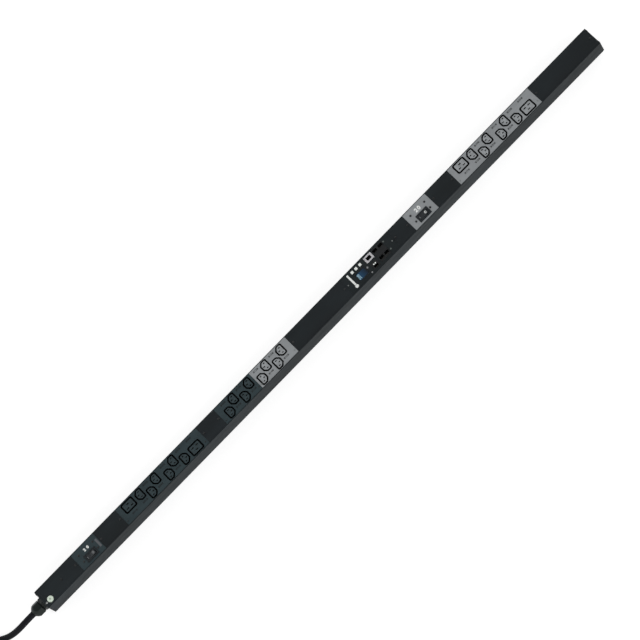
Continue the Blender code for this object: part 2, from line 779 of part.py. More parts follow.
def build_cord():
    """The free cord as plain solids: the lead, the tied hank and the tail to the plug."""
    tube("cord_lead", LEAD_ROUTE, CORD_RUBBER)
    top = HANK_BASE + 2 * CORD_D
    hank = prism("cord_hank", racetrack(TURN_OUTER + CORD_R), HANK_BASE, top, CORD_RUBBER)
    hole = prism("hank_hole", racetrack(TURN_INNER - CORD_R), HANK_BASE - PAST, top + PAST)
    cut(hank, [hole])
    tube("cord_tail", TAIL_ROUTE, CORD_RUBBER)


def build_plug():
    """The locking supply plug: a round grip with its strain relief, and a face with blades."""
    profile = (
        (0, 0),
        (0, 10 * MM),
        (6 * MM, 12.5 * MM),
        (16 * MM, 14 * MM),
        (20 * MM, 20 * MM),
        (26 * MM, PLUG_R),
        (PLUG_LENGTH - 2 * MM, PLUG_R),
        (PLUG_LENGTH, PLUG_R - 1.5 * MM),
        (PLUG_LENGTH, 0),
    )
    outward = [(-distance, radius) for distance, radius in reversed(profile)]
    turned("plug_body", outward, (PLUG_START_X, HANK_Y, PLUG_R), BLACK_PLASTIC, 28)
    face_x = PLUG_START_X + PLUG_LENGTH + GAP
    middle = (face_x + PLUG_FACE / 2, HANK_Y, PLUG_R)
    face = cylinder("plug_face", middle, (1, 0, 0), PLUG_R - 2.5 * MM, PLUG_FACE, WHITE_PLASTIC, 28)
    blades = []
    for index in range(3):
        angle = math.radians(90 + 120 * index)
        place = Vector((face_x + PLUG_FACE + 5 * MM, HANK_Y, PLUG_R))
        place += BLADE_CIRCLE * Vector((0, math.cos(angle), math.sin(angle)))
        blade = box(f"plug_blade_{index}", (-7 * MM, -4 * MM, -1 * MM), (7 * MM, 4 * MM, 1 * MM))
        blade.location = place
        blade.rotation_euler = (angle - math.radians(90), 0, 0)
        blades.append(blade)
    cut(face, blades, "UNION")


def build_tie():
    """The strap that holds the hank together: one closed band round both runs."""
    end = HANK_X - 3 * MM
    start = end - TIE_WIDTH
    half = TURN_OUTER + CORD_R + GAP
    top = HANK_BASE + 2 * CORD_D + GAP
    band = box(
        "hank_tie",
        (start, HANK_Y - half - TIE, 0),
        (end, HANK_Y + half + TIE, top + TIE),
        BLACK_PLASTIC,
    )
    room_low = (start - PAST, HANK_Y - half, TIE)
    room_high = (end + PAST, HANK_Y + half, top)
    room = box("hank_tie_room", room_low, room_high)
    cut(band, [room])


clear_scene()
PARTS = make_collection("rack_power_strip")
CUTTERS = make_collection("cutters")
build_chassis()
build_end_caps()
build_pegs()
build_blank_plates()
build_earth_screw()
build_banks()
for breaker in (1, 2):
    build_breaker(breaker)
build_meter_module()
build_wiring()
build_gland()
build_cord()
build_plug()
build_tie()
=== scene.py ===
"""Looks of the rack power strip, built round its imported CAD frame."""

import json
import math

import bmesh
import bpy
from mathutils import Matrix, Vector


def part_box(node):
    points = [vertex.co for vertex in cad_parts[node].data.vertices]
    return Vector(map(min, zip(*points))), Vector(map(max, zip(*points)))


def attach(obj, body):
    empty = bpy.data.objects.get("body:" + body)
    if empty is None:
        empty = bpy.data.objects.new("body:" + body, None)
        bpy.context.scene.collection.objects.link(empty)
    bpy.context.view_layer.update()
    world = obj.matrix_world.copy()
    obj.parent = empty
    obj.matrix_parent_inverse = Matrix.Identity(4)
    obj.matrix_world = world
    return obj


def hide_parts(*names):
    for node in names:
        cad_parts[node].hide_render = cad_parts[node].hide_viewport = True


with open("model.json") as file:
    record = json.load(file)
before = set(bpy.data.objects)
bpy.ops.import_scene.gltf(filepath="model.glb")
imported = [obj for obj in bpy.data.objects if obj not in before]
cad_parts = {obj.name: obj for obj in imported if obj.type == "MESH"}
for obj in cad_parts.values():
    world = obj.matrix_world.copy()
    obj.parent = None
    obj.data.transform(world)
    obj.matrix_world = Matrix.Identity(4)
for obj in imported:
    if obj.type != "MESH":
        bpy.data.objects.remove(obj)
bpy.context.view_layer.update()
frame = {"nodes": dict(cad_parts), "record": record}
NODES = frame["nodes"]
MM = 0.001

# ---- places taken from the frame ----
FACE_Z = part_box("chassis")[1].z
BACK_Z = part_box("chassis")[0].z
CORD_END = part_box("end_cap_cord")[0].x
FAR_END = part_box("end_cap_far")[1].x
GLAND_Z = (BACK_Z + FACE_Z) / 2
HANK_LOW, HANK_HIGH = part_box("cord_hank")

# ---- camera ----
CAMERA_DISTANCE = 8.0
CAMERA_ELEVATION = 70.01
CAMERA_AZIMUTH = -0.03
CAMERA_ROLL = -45.66
CAMERA_AIM = (0.0018, -0.0089, FACE_Z)
CAMERA_LENS = 197.4

# ---- light ----
FLOOR_GLOW = 0.74
FLOOR_SIZE = 30
ROUND_LIGHT = 1.25  # strength of the world low down
OVERHEAD_LIGHT = 0.2
OVERHEAD_FROM, OVERHEAD_FULL = 0.66, 0.9  # height of the direction in which one turns into the other
KEY_LIGHT = 0.5
KEY_SPREAD = math.radians(35)
KEY_FROM = (0.25, -0.75, 0.62)

# ---- supply cord ----
CORD_D = 15 * MM
CORD_R = CORD_D / 2
CORD_STEP = 4 * MM
TAIL_BEND = 60 * MM  # the turn in which the cord leaves the hank's inner run
TURN_INNER = 45 * MM
TURN_OUTER = 60 * MM
HANK_RUN = 220 * MM
STRAP = 1.0 * MM  # thickness of the webbing
HANK_X = HANK_HIGH.x - TURN_OUTER - CORD_R
HANK_Y = (HANK_LOW.y + HANK_HIGH.y) / 2
LAYER_LOW = HANK_LOW.z + CORD_R
LAYER_HIGH = LAYER_LOW + CORD_D
LEAD_ROUTE = (
    (-0.9368, 0.0, 0.0335), (-0.9520, 0.0, 0.0335), (-0.9680, 0.0003, 0.0316),
    (-0.9840, 0.0016, 0.0272), (-1.0000, 0.0048, 0.0210), (-1.0150, 0.0102, 0.0148),
    (-1.0280, 0.0174, 0.0104), (-1.0400, 0.0248, 0.0086), (-1.0540, 0.0316, 0.0080),
    (-1.0690, 0.0358, 0.0080), (-1.0850, 0.0376, 0.0084),
)
TAIL_ROUTE = (
    (-1.3110, -0.0508, 0.0096), (-1.2970, -0.0364, 0.0124), (-1.2820, -0.0270, 0.0172),
    (-1.2680, -0.0228, 0.0216), (-1.2560, -0.0220, 0.0238), (-1.2440, -0.0220, 0.0240),
)
PLUG_FLUTES = 16
PLUG_GRIP = (  # (distance from the plug's start, radius, depth of the flutes), in mm
    (15.4, 13.8, 0.0), (17.0, 14.8, 0.0), (18.6, 17.6, 0.0), (20.6, 20.4, 0.0), (23.2, 22.6, 0.0),
    (26.2, 23.8, 0.0), (29.0, 23.9, 0.0), (31.0, 23.9, 0.9), (34.0, 23.9, 1.1), (53.0, 23.9, 1.1),
    (56.0, 23.9, 0.9), (58.0, 23.9, 0.0), (58.6, 23.5, 0.0), (59.4, 23.5, 0.0), (60.0, 23.9, 0.0),
    (62.6, 23.6, 0.0), (64.0, 22.4, 0.0),
)
NUT = (  # (distance from the end cap, half the width across the flats, radius of the crown), in mm
    (10.6, 14.6, 15.6), (11.3, 15.3, 17.0), (24.6, 15.3, 17.0), (26.2, 15.3, 16.6), (28.0, 15.3, 15.9),
    (30.0, 15.3, 14.7), (32.0, 15.3, 13.1), (33.8, 15.3, 11.3), (35.2, 15.3, 9.8), (36.0, 15.3, 8.9),
    (36.0, 15.3, 8.0), (34.0, 15.3, 7.8), (24.0, 15.3, 7.8), (22.3, 15.3, 11.3), (10.6, 15.3, 11.3),
)
SEAL_LIP = ((7.5, 0.0), (8.1, 0.0), (8.5, 1.0), (8.3, 2.0), (7.7, 2.4), (7.5, 2.2))
SEAL_RIM = ((11.4, 0.0), (14.6, 0.0), (14.9, 0.4), (14.6, 0.8), (11.4, 0.8))

# ---- outlets: (kind, distance from the bezel's cord-side end in mm, row), row +1 at +Y ----
LONG_BANK = (
    ("c19", 31.0, 1), ("c13", 65.2, 1), ("c13", 91.3, -1), ("c13", 115.0, 1),
    ("c13", 148.0, -1), ("c13", 171.7, 1), ("c13", 197.8, -1), ("c19", 232.0, -1),
)
SHORT_BANK_A = (("c13", 25.1, -1), ("c13", 48.4, 1), ("c13", 74.7, -1), ("c13", 98.2, 1))
SHORT_BANK_B = (("c13", 16.2, -1), ("c13", 39.3, 1), ("c13", 66.0, -1), ("c13", 88.6, 1))
BANKS = {
    "outlet_bezel_1": LONG_BANK,
    "outlet_bezel_2": SHORT_BANK_A,
    "outlet_bezel_3": SHORT_BANK_B,
    "outlet_bezel_4": LONG_BANK,
}
ROW_Y = {"c13": 8.6 * MM, "c19": 9.3 * MM}
SLOTS = {
    "c13": ((1.8, 7.0, 4.6, 2.4), (1.8, -7.0, 4.6, 2.4), (-3.2, 0.0, 4.6, 2.4)),
    "c19": ((-6.5, -4.2, 6.6, 2.6), (6.5, -4.2, 6.6, 2.6), (0.0, 4.4, 6.6, 2.6)),
}
LABEL_Y = {1: -12.2 * MM, -1: 17.4 * MM}  # a label lies beside its outlet, by the row it is in
DARK_BEZELS = ("outlet_bezel_1", "outlet_bezel_2", "breaker_bezel_1")
LIGHT_BEZELS = ("outlet_bezel_3", "outlet_bezel_4", "breaker_bezel_2")
# Dissolving flat faces that many openings pierce spoils their shading, so these nodes keep all faces.
PIERCED = {name for name in NODES if name.startswith(("bank_", "outlet_bezel"))}

# ---- printing and small parts ----
PRINT_LIFT = 0.02 * MM  # from the face to the lettering
PRINT_RISE = 0.05 * MM  # thickness of a printed block
LABEL_SIZE = 4.2 * MM
LABEL_BAR_AT = (5.6 * MM, 1.1 * MM)  # from a number's middle to a bar's middle
LABEL_BAR_HALF = (2.0 * MM, 0.9 * MM)
LEGEND_Y = 10.0 * MM
LEGENDS = {1: (6.6, 33.2, 42.6), 2: (9.4, 31.9, 40.6)}  # height and the two digits' places, in mm
BREAKER_FRAMES = ((14.2, 7.2, 0.9), (16.6, 9.4, 0.5))  # half length, half width and bar, in mm
ROCKER_AT = (37.4 * MM, -9.6 * MM, -2.2 * MM)  # pivot from its bezel's end, the middle and the face
ROCKER_REST = math.radians(-10)
ROCKER_SLOPE = math.radians(9.3)  # of each half of the rocker's top
ROCKER_TOP = 3.0 * MM  # from the pivot to the middle of the top
ROCKER_MARKS = ((1, "O", 7.4 * MM, 90), (-1, "I", 10.2 * MM, 0))  # side, text, reach and turn
PAN_HEAD = ((1.0, 0.0), (1.0, 0.45), (0.93, 0.75), (0.72, 0.95), (0.5, 1.0))  # shares of radius and rise
PAN_RECESS = ((0.97, 0.98), (0.9, 0.35), (0.25, 0.1))
FACE_SCREW, SMALL_SCREW, SCREW_RISE = 2.6 * MM, 1.6 * MM, 0.9 * MM
END_SCREW, END_SCREW_RISE, END_SCREW_INSET = 2.8 * MM, 1.3 * MM, 6.5 * MM
EARTH_SCREW, EARTH_SCREW_RISE = 6.9 * MM, 3.4 * MM
WASHER = ((2.7, 0.0, 0.0), (7.4, 0.0, 0.5), (7.4, 0.55, 0.5), (2.7, 0.7, 0.0))  # radius, height, tooth
LAMP_RISE = 0.7 * MM
LAMPS = (  # (distance, y, radius) of each lens, in mm
    ("status_lamps", ((1063.0, -2.2, 2.3), (1063.0, -18.6, 2.0))),
    ("link_lamps", ((1130.4, 14.6, 2.0), (1131.0, -10.8, 2.0))),
    ("sensor_lamps", ((1078.4, -8.2, 1.7), (1083.4, -8.2, 1.7))),
)


# ---- materials ----
def tint(colour, factor, lift=0.0):
    """The colour, brighter or darker."""
    return tuple(min(channel * factor + lift, 1.0) for channel in colour)


class Look:
    """One procedural material, put together node by node."""

    def __init__(self, name, roughness=0.5, specular=0.5, metallic=0.0, coat=0.0, sheen=0.0):
        self.made = bpy.data.materials.new(name)
        self.made.use_nodes = True
        self.tree = self.made.node_tree
        self.shader = self.tree.nodes["Principled BSDF"]
        self.set("Roughness", roughness)
        self.set("Specular IOR Level", specular)
        self.set("Metallic", metallic)
        self.set("Coat Weight", coat)
        self.set("Sheen Weight", sheen)
        self.normal = None

    def set(self, socket, value):
        """Give a shader socket a number, a colour or a link."""
        self.feed(self.shader.inputs[socket], value)

    def feed(self, socket, value):
        """Link a socket, or set its own value."""
        if isinstance(value, bpy.types.NodeSocket):
            self.tree.links.new(value, socket)
        elif isinstance(value, tuple) and len(value) == 3 and socket.type == "RGBA":
            socket.default_value = (*value, 1)
        else:
            socket.default_value = value

    def node(self, kind, inputs=None, **settings):
        """The outputs of a new node with its settings and with what feeds its inputs."""
        made = self.tree.nodes.new(kind)
        for name, value in settings.items():
            setattr(made, name, value)
        for socket, value in (inputs or {}).items():
            self.feed(made.inputs[socket], value)
        return made.outputs

    def place(self, stretch=(1, 1, 1)):
        """Object coordinates in metres, stretched."""
        where = self.node("ShaderNodeTexCoord")["Object"]
        return self.node("ShaderNodeMapping", {"Vector": where, "Scale": stretch})["Vector"]

    def axis(self, name):
        """One object coordinate, X, Y or Z, in metres."""
        where = self.node("ShaderNodeTexCoord")["Object"]
        return self.node("ShaderNodeSeparateXYZ", {"Vector": where})[name]

    def noise(self, size, detail=3.0, stretch=(1, 1, 1)):
        """Clouds about this many metres across."""
        inputs = {"Vector": self.place(stretch), "Scale": 1 / size, "Detail": detail}
        return self.node("ShaderNodeTexNoise", inputs)["Fac"]

    def cells(self, size, feature="F1", stretch=(1, 1, 1)):
        """Distance field of cells about this many metres across."""
        inputs = {"Vector": self.place(stretch), "Scale": 1 / size}
        return self.node("ShaderNodeTexVoronoi", inputs, feature=feature)["Distance"]

    def ripple(self, size, direction):
        """Parallel bands this many metres apart."""
        inputs = {"Vector": self.place(), "Scale": math.pi / (10 * size)}
        return self.node("ShaderNodeTexWave", inputs, bands_direction=direction)["Fac"]

    def spread(self, value, low, high, to_low=0.0, to_high=1.0):
        """Map low..high to to_low..to_high, and hold the ends."""
        inputs = {"Value": value, "From Min": low, "From Max": high, "To Min": to_low, "To Max": to_high}
        return self.node("ShaderNodeMapRange", inputs)["Result"]

    def math(self, operation, first, second):
        """Two values added, subtracted or multiplied."""
        return self.node("ShaderNodeMath", {0: first, 1: second}, operation=operation)["Value"]

    def blend(self, amount, first, second):
        """A mix of two colours."""
        return self.node("ShaderNodeMix", {"Factor": amount, 6: first, 7: second}, data_type="RGBA")[2]

    def edges(self, width):
        """1 along sharp edges, within this many metres, and 0 on open faces."""
        rounded = self.node("ShaderNodeBevel", {"Radius": width}, samples=4)["Normal"]
        inputs = {0: rounded, 1: self.node("ShaderNodeNewGeometry")["Normal"]}
        turned = self.node("ShaderNodeVectorMath", inputs, operation="DOT_PRODUCT")["Value"]
        return self.spread(turned, 0.995, 0.9)

    def bump(self, height, depth, strength=1.0):
        """Relief this many metres deep, on top of what is there."""
        inputs = {"Strength": strength, "Distance": depth, "Height": height}
        if self.normal:
            inputs["Normal"] = self.normal
        self.normal = self.node("ShaderNodeBump", inputs)["Normal"]
        self.set("Normal", self.normal)


def powder_coat(name, colour, worn, specular=0.3):
    """Black powder coat: orange peel, fine grit, faint clouds, dust and rubbed edges."""
    look = Look(name, specular=specular)
    clouds = look.noise(55 * MM, 4, (0.35, 1, 1))
    smears = look.noise(9 * MM, 3, (0.2, 1, 1))
    grit = look.noise(0.5 * MM, 2)
    dust = look.spread(look.cells(6 * MM), 0.02, 0.0)
    base = look.blend(look.spread(clouds, 0.35, 0.68), tint(colour, 0.78), tint(colour, 1.28))
    base = look.blend(look.spread(grit, 0.55, 0.8, 0, 0.35), base, worn)
    base = look.blend(look.spread(dust, 0.0, 1.0, 0, 0.25), base, (0.2, 0.2, 0.19))
    rubbed = look.math("MULTIPLY", look.edges(0.5 * MM), look.spread(smears, 0.4, 0.62, 0.25, 1.0))
    look.set("Base Color", look.blend(look.math("MULTIPLY", rubbed, 0.5), base, worn))
    rough = look.spread(smears, 0.3, 0.7, 0.42, 0.52)
    rough = look.math("ADD", rough, look.spread(grit, 0.3, 0.7, 0, 0.08))
    look.set("Roughness", look.math("SUBTRACT", rough, look.math("MULTIPLY", rubbed, 0.12)))
    look.bump(look.noise(2.4 * MM, 1), 0.05 * MM, 0.5)
    look.bump(grit, 0.02 * MM, 0.6)
    return look.made


def moulded(name, colour, roughness=0.5, specular=0.4, cloud=0.08):
    """Moulded plastic: spark-eroded grain, slow flow clouds and polished, paler edges."""
    look = Look(name, specular=specular)
    clouds = look.noise(24 * MM, 3, (0.5, 1, 1))
    grainy = look.noise(0.35 * MM, 2)
    speck = look.noise(1.3 * MM, 2)
    base = look.blend(look.spread(clouds, 0.35, 0.65), tint(colour, 1 - cloud), tint(colour, 1 + cloud))
    base = look.blend(look.spread(speck, 0.58, 0.75, 0, 0.5), base, tint(colour, 1 - 1.6 * cloud))
    rubbed = look.math("MULTIPLY", look.edges(0.4 * MM), look.spread(speck, 0.35, 0.6, 0.2, 0.35))
    look.set("Base Color", look.blend(rubbed, base, tint(colour, 1.35, 0.012)))
    look.set("Roughness", look.spread(clouds, 0.3, 0.7, roughness - 0.05, roughness + 0.06))
    look.bump(grainy, 0.015 * MM, 0.7)
    look.bump(look.noise(14 * MM, 1), 0.05 * MM, 0.3)
    return look.made


def outlet_plastic_painted_shade(name, core_colour):
    """Black moulded housing whose core faces, level with the panel, take the panel's colour; below the
    face the core's sides and slot walls are painted near-black as shade.
    """
    look = Look(name, specular=0.35)
    # Near-black below the face: the housing's own black, and painted shade on the core's sides and in its
    # slots.
    level = look.spread(look.axis("Z"), FACE_Z - 0.6 * MM, FACE_Z - 0.3 * MM)
    clouds = look.noise(7 * MM, 3)
    pale = tint(core_colour, 1.12)
    face = look.blend(look.spread(clouds, 0.35, 0.65), tint(core_colour, 0.86), pale)
    face = look.blend(look.math("MULTIPLY", look.edges(0.5 * MM), 0.3), face, pale)
    look.set("Base Color", look.blend(level, (0.006, 0.007, 0.008), face))
    look.set("Roughness", look.spread(clouds, 0.3, 0.7, 0.42, 0.55))
    look.bump(look.noise(0.35 * MM, 2), 0.015 * MM, 0.7)
    return look.made


def plated(name, colour, roughness=0.32, tarnish=(0.30, 0.32, 0.27), metallic=1.0):
    """Zinc or nickel plate: fine brushing, passivation clouds and dull spots."""
    look = Look(name, metallic=metallic)
    clouds = look.noise(4 * MM, 4)
    brushed = look.noise(0.3 * MM, 2, (0.06, 1, 1))
    base = look.blend(look.spread(clouds, 0.35, 0.65), colour, tint(colour, 1.12))
    spots = look.spread(look.noise(1.6 * MM, 3), 0.62, 0.78, 0, 0.6)
    look.set("Base Color", look.blend(spots, base, tarnish))
    rough = look.spread(clouds, 0.3, 0.7, roughness - 0.06, roughness + 0.1)
    look.set("Roughness", look.math("ADD", rough, look.math("MULTIPLY", spots, 0.25)))
    look.bump(brushed, 0.008 * MM, 0.8)
    return look.made


def shield_shell(name):
    """The shielded jack: a bright pressed shell at the face, and black below it."""
    look = Look(name)
    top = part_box("shielded_jack")[1].z
    bright = look.spread(look.axis("Z"), top - 0.9 * MM, top - 0.5 * MM)
    clouds = look.spread(look.noise(3 * MM, 4), 0.35, 0.65)
    shell = look.blend(clouds, (0.50, 0.49, 0.51), (0.66, 0.65, 0.67))
    look.set("Base Color", look.blend(bright, (0.004, 0.004, 0.005), shell))
    look.set("Metallic", look.math("MULTIPLY", bright, 0.45))
    look.set("Roughness", look.spread(clouds, 0.0, 1.0, 0.3, 0.42))
    look.bump(look.noise(0.3 * MM, 2, (0.06, 1, 1)), 0.008 * MM, 0.8)
    return look.made


def rubber(name, colour, scuff, roughness=0.5, specular=0.35):
    """Cable rubber: fine pitting, long scuffs along it and a dusty bloom."""
    look = Look(name, specular=specular)
    bloom = look.noise(30 * MM, 4)
    scuffs = look.noise(2.2 * MM, 3, (0.12, 1, 1))
    pits = look.noise(0.45 * MM, 2)
    base = look.blend(look.spread(bloom, 0.35, 0.7), colour, tint(colour, 1.5))
    look.set("Base Color", look.blend(look.spread(scuffs, 0.6, 0.8, 0, 0.5), base, scuff))
    look.set("Roughness", look.spread(scuffs, 0.35, 0.75, roughness - 0.06, roughness + 0.14))
    look.bump(pits, 0.02 * MM, 0.7)
    look.bump(look.noise(6 * MM, 2), 0.12 * MM, 0.3)
    return look.made


def woven(name, colour, thread):
    """Hook-and-loop webbing: a fine twill with fuzzy threads."""
    look = Look(name, roughness=0.85, specular=0.2, sheen=0.35)
    warp = look.ripple(0.7 * MM, "X")
    weft = look.ripple(0.9 * MM, "DIAGONAL")
    cloth = look.math("MULTIPLY", warp, weft)
    fuzz = look.noise(0.35 * MM, 3)
    base = look.blend(look.spread(cloth, 0.1, 0.7), colour, thread)
    look.set("Base Color", look.blend(look.spread(fuzz, 0.5, 0.8, 0, 0.6), base, thread))
    look.bump(cloth, 0.15 * MM, 0.8)
    look.bump(fuzz, 0.1 * MM, 0.6)
    return look.made


def display_glass(name):
    """Blue display under a clear gloss window: rows of cells in a lit field that darkens along it."""
    look = Look(name, roughness=0.08, specular=0.6, coat=0.4)
    low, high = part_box("display_window")
    along = look.axis("X")
    across = look.axis("Y")
    margin = 1.5 * MM
    left = look.spread(along, low.x + margin, low.x + 3.2 * MM)
    right = look.spread(along, high.x - margin, high.x - 3.2 * MM)
    near = look.spread(across, low.y + margin, low.y + 2 * margin)
    far = look.spread(across, high.y - margin, high.y - 2 * margin)
    lit = look.math("MULTIPLY", look.math("MULTIPLY", left, right), look.math("MULTIPLY", near, far))
    dots = look.math("MULTIPLY", look.ripple(0.7 * MM, "X"), look.ripple(0.7 * MM, "Y"))
    slope = look.spread(along, low.x, high.x)
    field = look.blend(slope, (0.012, 0.068, 0.145), (0.0015, 0.004, 0.010))
    field = look.blend(look.spread(dots, 0.3, 0.9, 0, 0.25), field, (0.004, 0.016, 0.04))
    haze = look.spread(look.noise(3 * MM), 0.4, 0.6)
    rim = look.blend(haze, (0.004, 0.007, 0.012), (0.008, 0.012, 0.018))
    look.set("Base Color", look.blend(lit, rim, field))
    look.set("Roughness", look.spread(look.noise(5 * MM, 4), 0.35, 0.75, 0.06, 0.16))
    return look.made


def glowing(name, colour, strength):
    """A small lit lens, uneven where its grain is brighter."""
    look = Look(name, roughness=0.2)
    grain = look.spread(look.noise(0.6 * MM, 2), 0.35, 0.65)
    tone = look.blend(grain, colour, tint(colour, 1.3, 0.05))
    look.set("Base Color", tone)
    look.set("Emission Color", tone)
    look.set("Emission Strength", strength)
    return look.made


def ink(name, colour, wear):
    """Pad-printed ink: slightly uneven, with pinholes."""
    look = Look(name, roughness=0.6, specular=0.3)
    thin = look.spread(look.noise(0.5 * MM, 3), 0.58, 0.75, 0, 0.7)
    blotch = look.spread(look.noise(3 * MM, 2), 0.35, 0.65, 0, 0.3)
    base = look.blend(thin, colour, wear)
    look.set("Base Color", look.blend(blotch, base, wear))
    look.bump(look.noise(0.4 * MM, 2), 0.01 * MM, 0.5)
    return look.made


def circuit_board(name):
    """Green solder mask with paler tracks and pads."""
    look = Look(name, roughness=0.4, specular=0.5)
    tracks = look.spread(look.cells(4 * MM, "DISTANCE_TO_EDGE", (1, 1, 0.01)), 0.05, 0.08)
    base = look.blend(tracks, (0.02, 0.16, 0.07), (0.010, 0.075, 0.035))
    pads = look.spread(look.cells(5 * MM, "F1", (1, 1, 0.01)), 0.12, 0.09)
    look.set("Base Color", look.blend(pads, base, (0.55, 0.45, 0.22)))
    look.bump(tracks, 0.05 * MM, 0.6)
    return look.made


def plug_insert(name, blade_from):
    """Pale nylon insert with plated blades past blade_from along the strip."""
    look = Look(name)
    metal = look.spread(look.axis("X"), blade_from, blade_from + 0.1 * MM)
    clouds = look.spread(look.noise(5 * MM, 3), 0.35, 0.65)
    nylon = look.blend(clouds, (0.66, 0.68, 0.64), (0.76, 0.77, 0.73))
    drawn = look.noise(0.3 * MM, 2, (0.06, 1, 1))
    plate = look.blend(look.spread(drawn, 0.3, 0.7), (0.62, 0.60, 0.55), (0.78, 0.76, 0.70))
    look.set("Base Color", look.blend(metal, nylon, plate))
    look.set("Metallic", metal)
    look.set("Roughness", look.spread(look.math("ADD", metal, clouds), 0.0, 2.0, 0.5, 0.3))
    look.bump(drawn, 0.01 * MM, 0.6)
    return look.made


def matt_floor(name):
    """Pale studio floor that glows like a light table."""
    look = Look(name, roughness=0.9, specular=0.1)
    tone = look.spread(look.noise(0.4, 2), 0.3, 0.7)
    look.set("Base Color", look.blend(tone, (0.39, 0.39, 0.39), (0.41, 0.41, 0.41)))
    look.set("Emission Color", (1.0, 1.0, 1.0))
    look.set("Emission Strength", FLOOR_GLOW)
    return look.made


BLACK = (0.0080, 0.0115, 0.0135)
DARK_PANEL = (0.021, 0.035, 0.040)
LIGHT_PANEL = (0.236, 0.249, 0.258)
# One black powder coat in two copies: the side's copy has a slightly paler base, painted light for the
# light falling on the side, and less shine to match it.
SIDE_COAT_LIT_COPY = powder_coat("side_powder_coat_lit_copy", (0.0095, 0.0135, 0.0155), (0.03, 0.036, 0.038), 0.08)
FACE_COAT = powder_coat("face_powder_coat", BLACK, (0.035, 0.040, 0.043), 0.22)
DARK_MOULD = moulded("dark_grey_mould", DARK_PANEL, specular=0.28)
LIGHT_MOULD = moulded("light_grey_mould", LIGHT_PANEL, specular=0.3, cloud=0.06)
DARK_OUTLET = outlet_plastic_painted_shade("outlet_dark_core", DARK_PANEL)
LIGHT_OUTLET = outlet_plastic_painted_shade("outlet_light_core", tint(LIGHT_PANEL, 1.08))
JACK_PLASTIC = moulded("jack_black", (0.007, 0.008, 0.009), 0.45, 0.35)
MODULE_PLASTIC = moulded("module_black", (0.0085, 0.0125, 0.014), 0.5, 0.22)
BREAKER_PLASTIC = moulded("breaker_black", (0.014, 0.018, 0.021), 0.42, 0.3)
ROCKER_PLASTIC = moulded("rocker_black", (0.022, 0.025, 0.028), 0.24, 0.5)
BUTTON_PLASTIC = moulded("button_white", (0.74, 0.77, 0.74), 0.35, 0.5, cloud=0.03)
TERMINAL_PLASTIC = moulded("terminal_black", (0.012, 0.012, 0.013), 0.5)
GLAND_NYLON = moulded("gland_nylon", (0.008, 0.012, 0.011), 0.4, 0.2, cloud=0.12)
SCREW_BLACK = moulded("blackened_screw", (0.010, 0.011, 0.012), 0.3, 0.6, cloud=0.2)
ZINC = plated("zinc_plate", (0.66, 0.70, 0.62))
NICKEL = plated("nickel_shell", (0.62, 0.61, 0.62), 0.28, tarnish=(0.35, 0.34, 0.34))
BRASS = plated("contact_brass", (0.16, 0.14, 0.10), 0.35, tarnish=(0.07, 0.06, 0.045))
COPPER = plated("drawn_copper", (0.17, 0.085, 0.05), 0.5, tarnish=(0.06, 0.035, 0.025))
SHEATH = rubber("cord_sheath", (0.0045, 0.005, 0.0068), (0.016, 0.016, 0.018), 0.5, 0.1)
GRIP_RUBBER = rubber("plug_rubber", (0.010, 0.0105, 0.011), (0.03, 0.03, 0.03), 0.42, 0.35)
WEBBING = woven("strap_webbing", (0.010, 0.010, 0.011), (0.032, 0.032, 0.035))
DISPLAY = display_glass("display_blue_glass")
BOARD = circuit_board("board_green_mask")
WHITE_INK = ink("white_ink", (0.78, 0.80, 0.78), (0.45, 0.46, 0.45))
GREY_INK = ink("grey_ink", (0.036, 0.039, 0.040), (0.06, 0.065, 0.068))
DIM_INK = ink("dim_ink", (0.0045, 0.007, 0.008), (0.008, 0.012, 0.014))
STRIP_INK = ink("strip_ink", (0.095, 0.10, 0.108), (0.06, 0.066, 0.07))
# Grey ink of the rocker's I and O, toned to paint the rocker's highlights as well.
MARK_INK_AND_HIGHLIGHT = ink("mark_ink_and_painted_highlight", (0.20, 0.21, 0.215), (0.10, 0.105, 0.11))
DIGIT_INK = glowing("display_segments", (0.17, 0.28, 0.34), 0.08)
WHITE_LAMP = glowing("white_lamp", (0.70, 0.73, 0.70), 0.12)
GREY_LAMP = glowing("grey_lamp", (0.15, 0.155, 0.16), 0.02)
DULL_LAMP = glowing("dull_lamp", (0.05, 0.062, 0.056), 0.02)
PALE_ZINC = plated("passivated_zinc", (0.62, 0.70, 0.60), 0.42, tarnish=(0.42, 0.48, 0.40), metallic=0.25)
DULL_ZINC = plated("dull_zinc", (0.20, 0.21, 0.21), 0.45, tarnish=(0.08, 0.085, 0.08), metallic=0.6)
SHIELD = shield_shell("shield_shell")
PLUG_INSERT = plug_insert("plug_insert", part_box("plug_face")[0].x + 8 * MM)
FLOOR = matt_floor("pale_floor")


# ---- mesh tools ----
def add_object(name, data):
    """A new object in the scene."""
    made = bpy.data.objects.new(name, data)
    bpy.context.scene.collection.objects.link(made)
    return made


def top_middle(low, high):
    """The middle of the top of a box."""
    return Vector(((low.x + high.x) / 2, (low.y + high.y) / 2, high.z))


def add_piece(name, bm, material, body="root", angle=35):
    """Turn a bmesh into a piece that rides on a body, smooth but for edges sharper than an angle."""
    bmesh.ops.recalc_face_normals(bm, faces=bm.faces)
    mesh = bpy.data.meshes.new(name)
    bm.to_mesh(mesh)
    bm.free()
    mesh.shade_smooth()
    mesh.set_sharp_from_angle(angle=math.radians(angle))
    mesh.materials.append(material)
    piece = add_object(name, mesh)
    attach(piece, body)
    return piece


def add_block(bm, low, high, bevel=0.0):
    """A box between two corners with rounded edges."""
    low = Vector(low)
    size = Vector(high) - low
    made = bmesh.ops.create_cube(bm, size=1)["verts"]
    bmesh.ops.scale(bm, vec=size, verts=made)
    bmesh.ops.translate(bm, vec=low + size / 2, verts=made)
    if bevel:
        edges = list({edge for vert in made for edge in vert.link_edges})
        bmesh.ops.bevel(bm, geom=edges, offset=bevel, segments=2, affect="EDGES", profile=0.5)


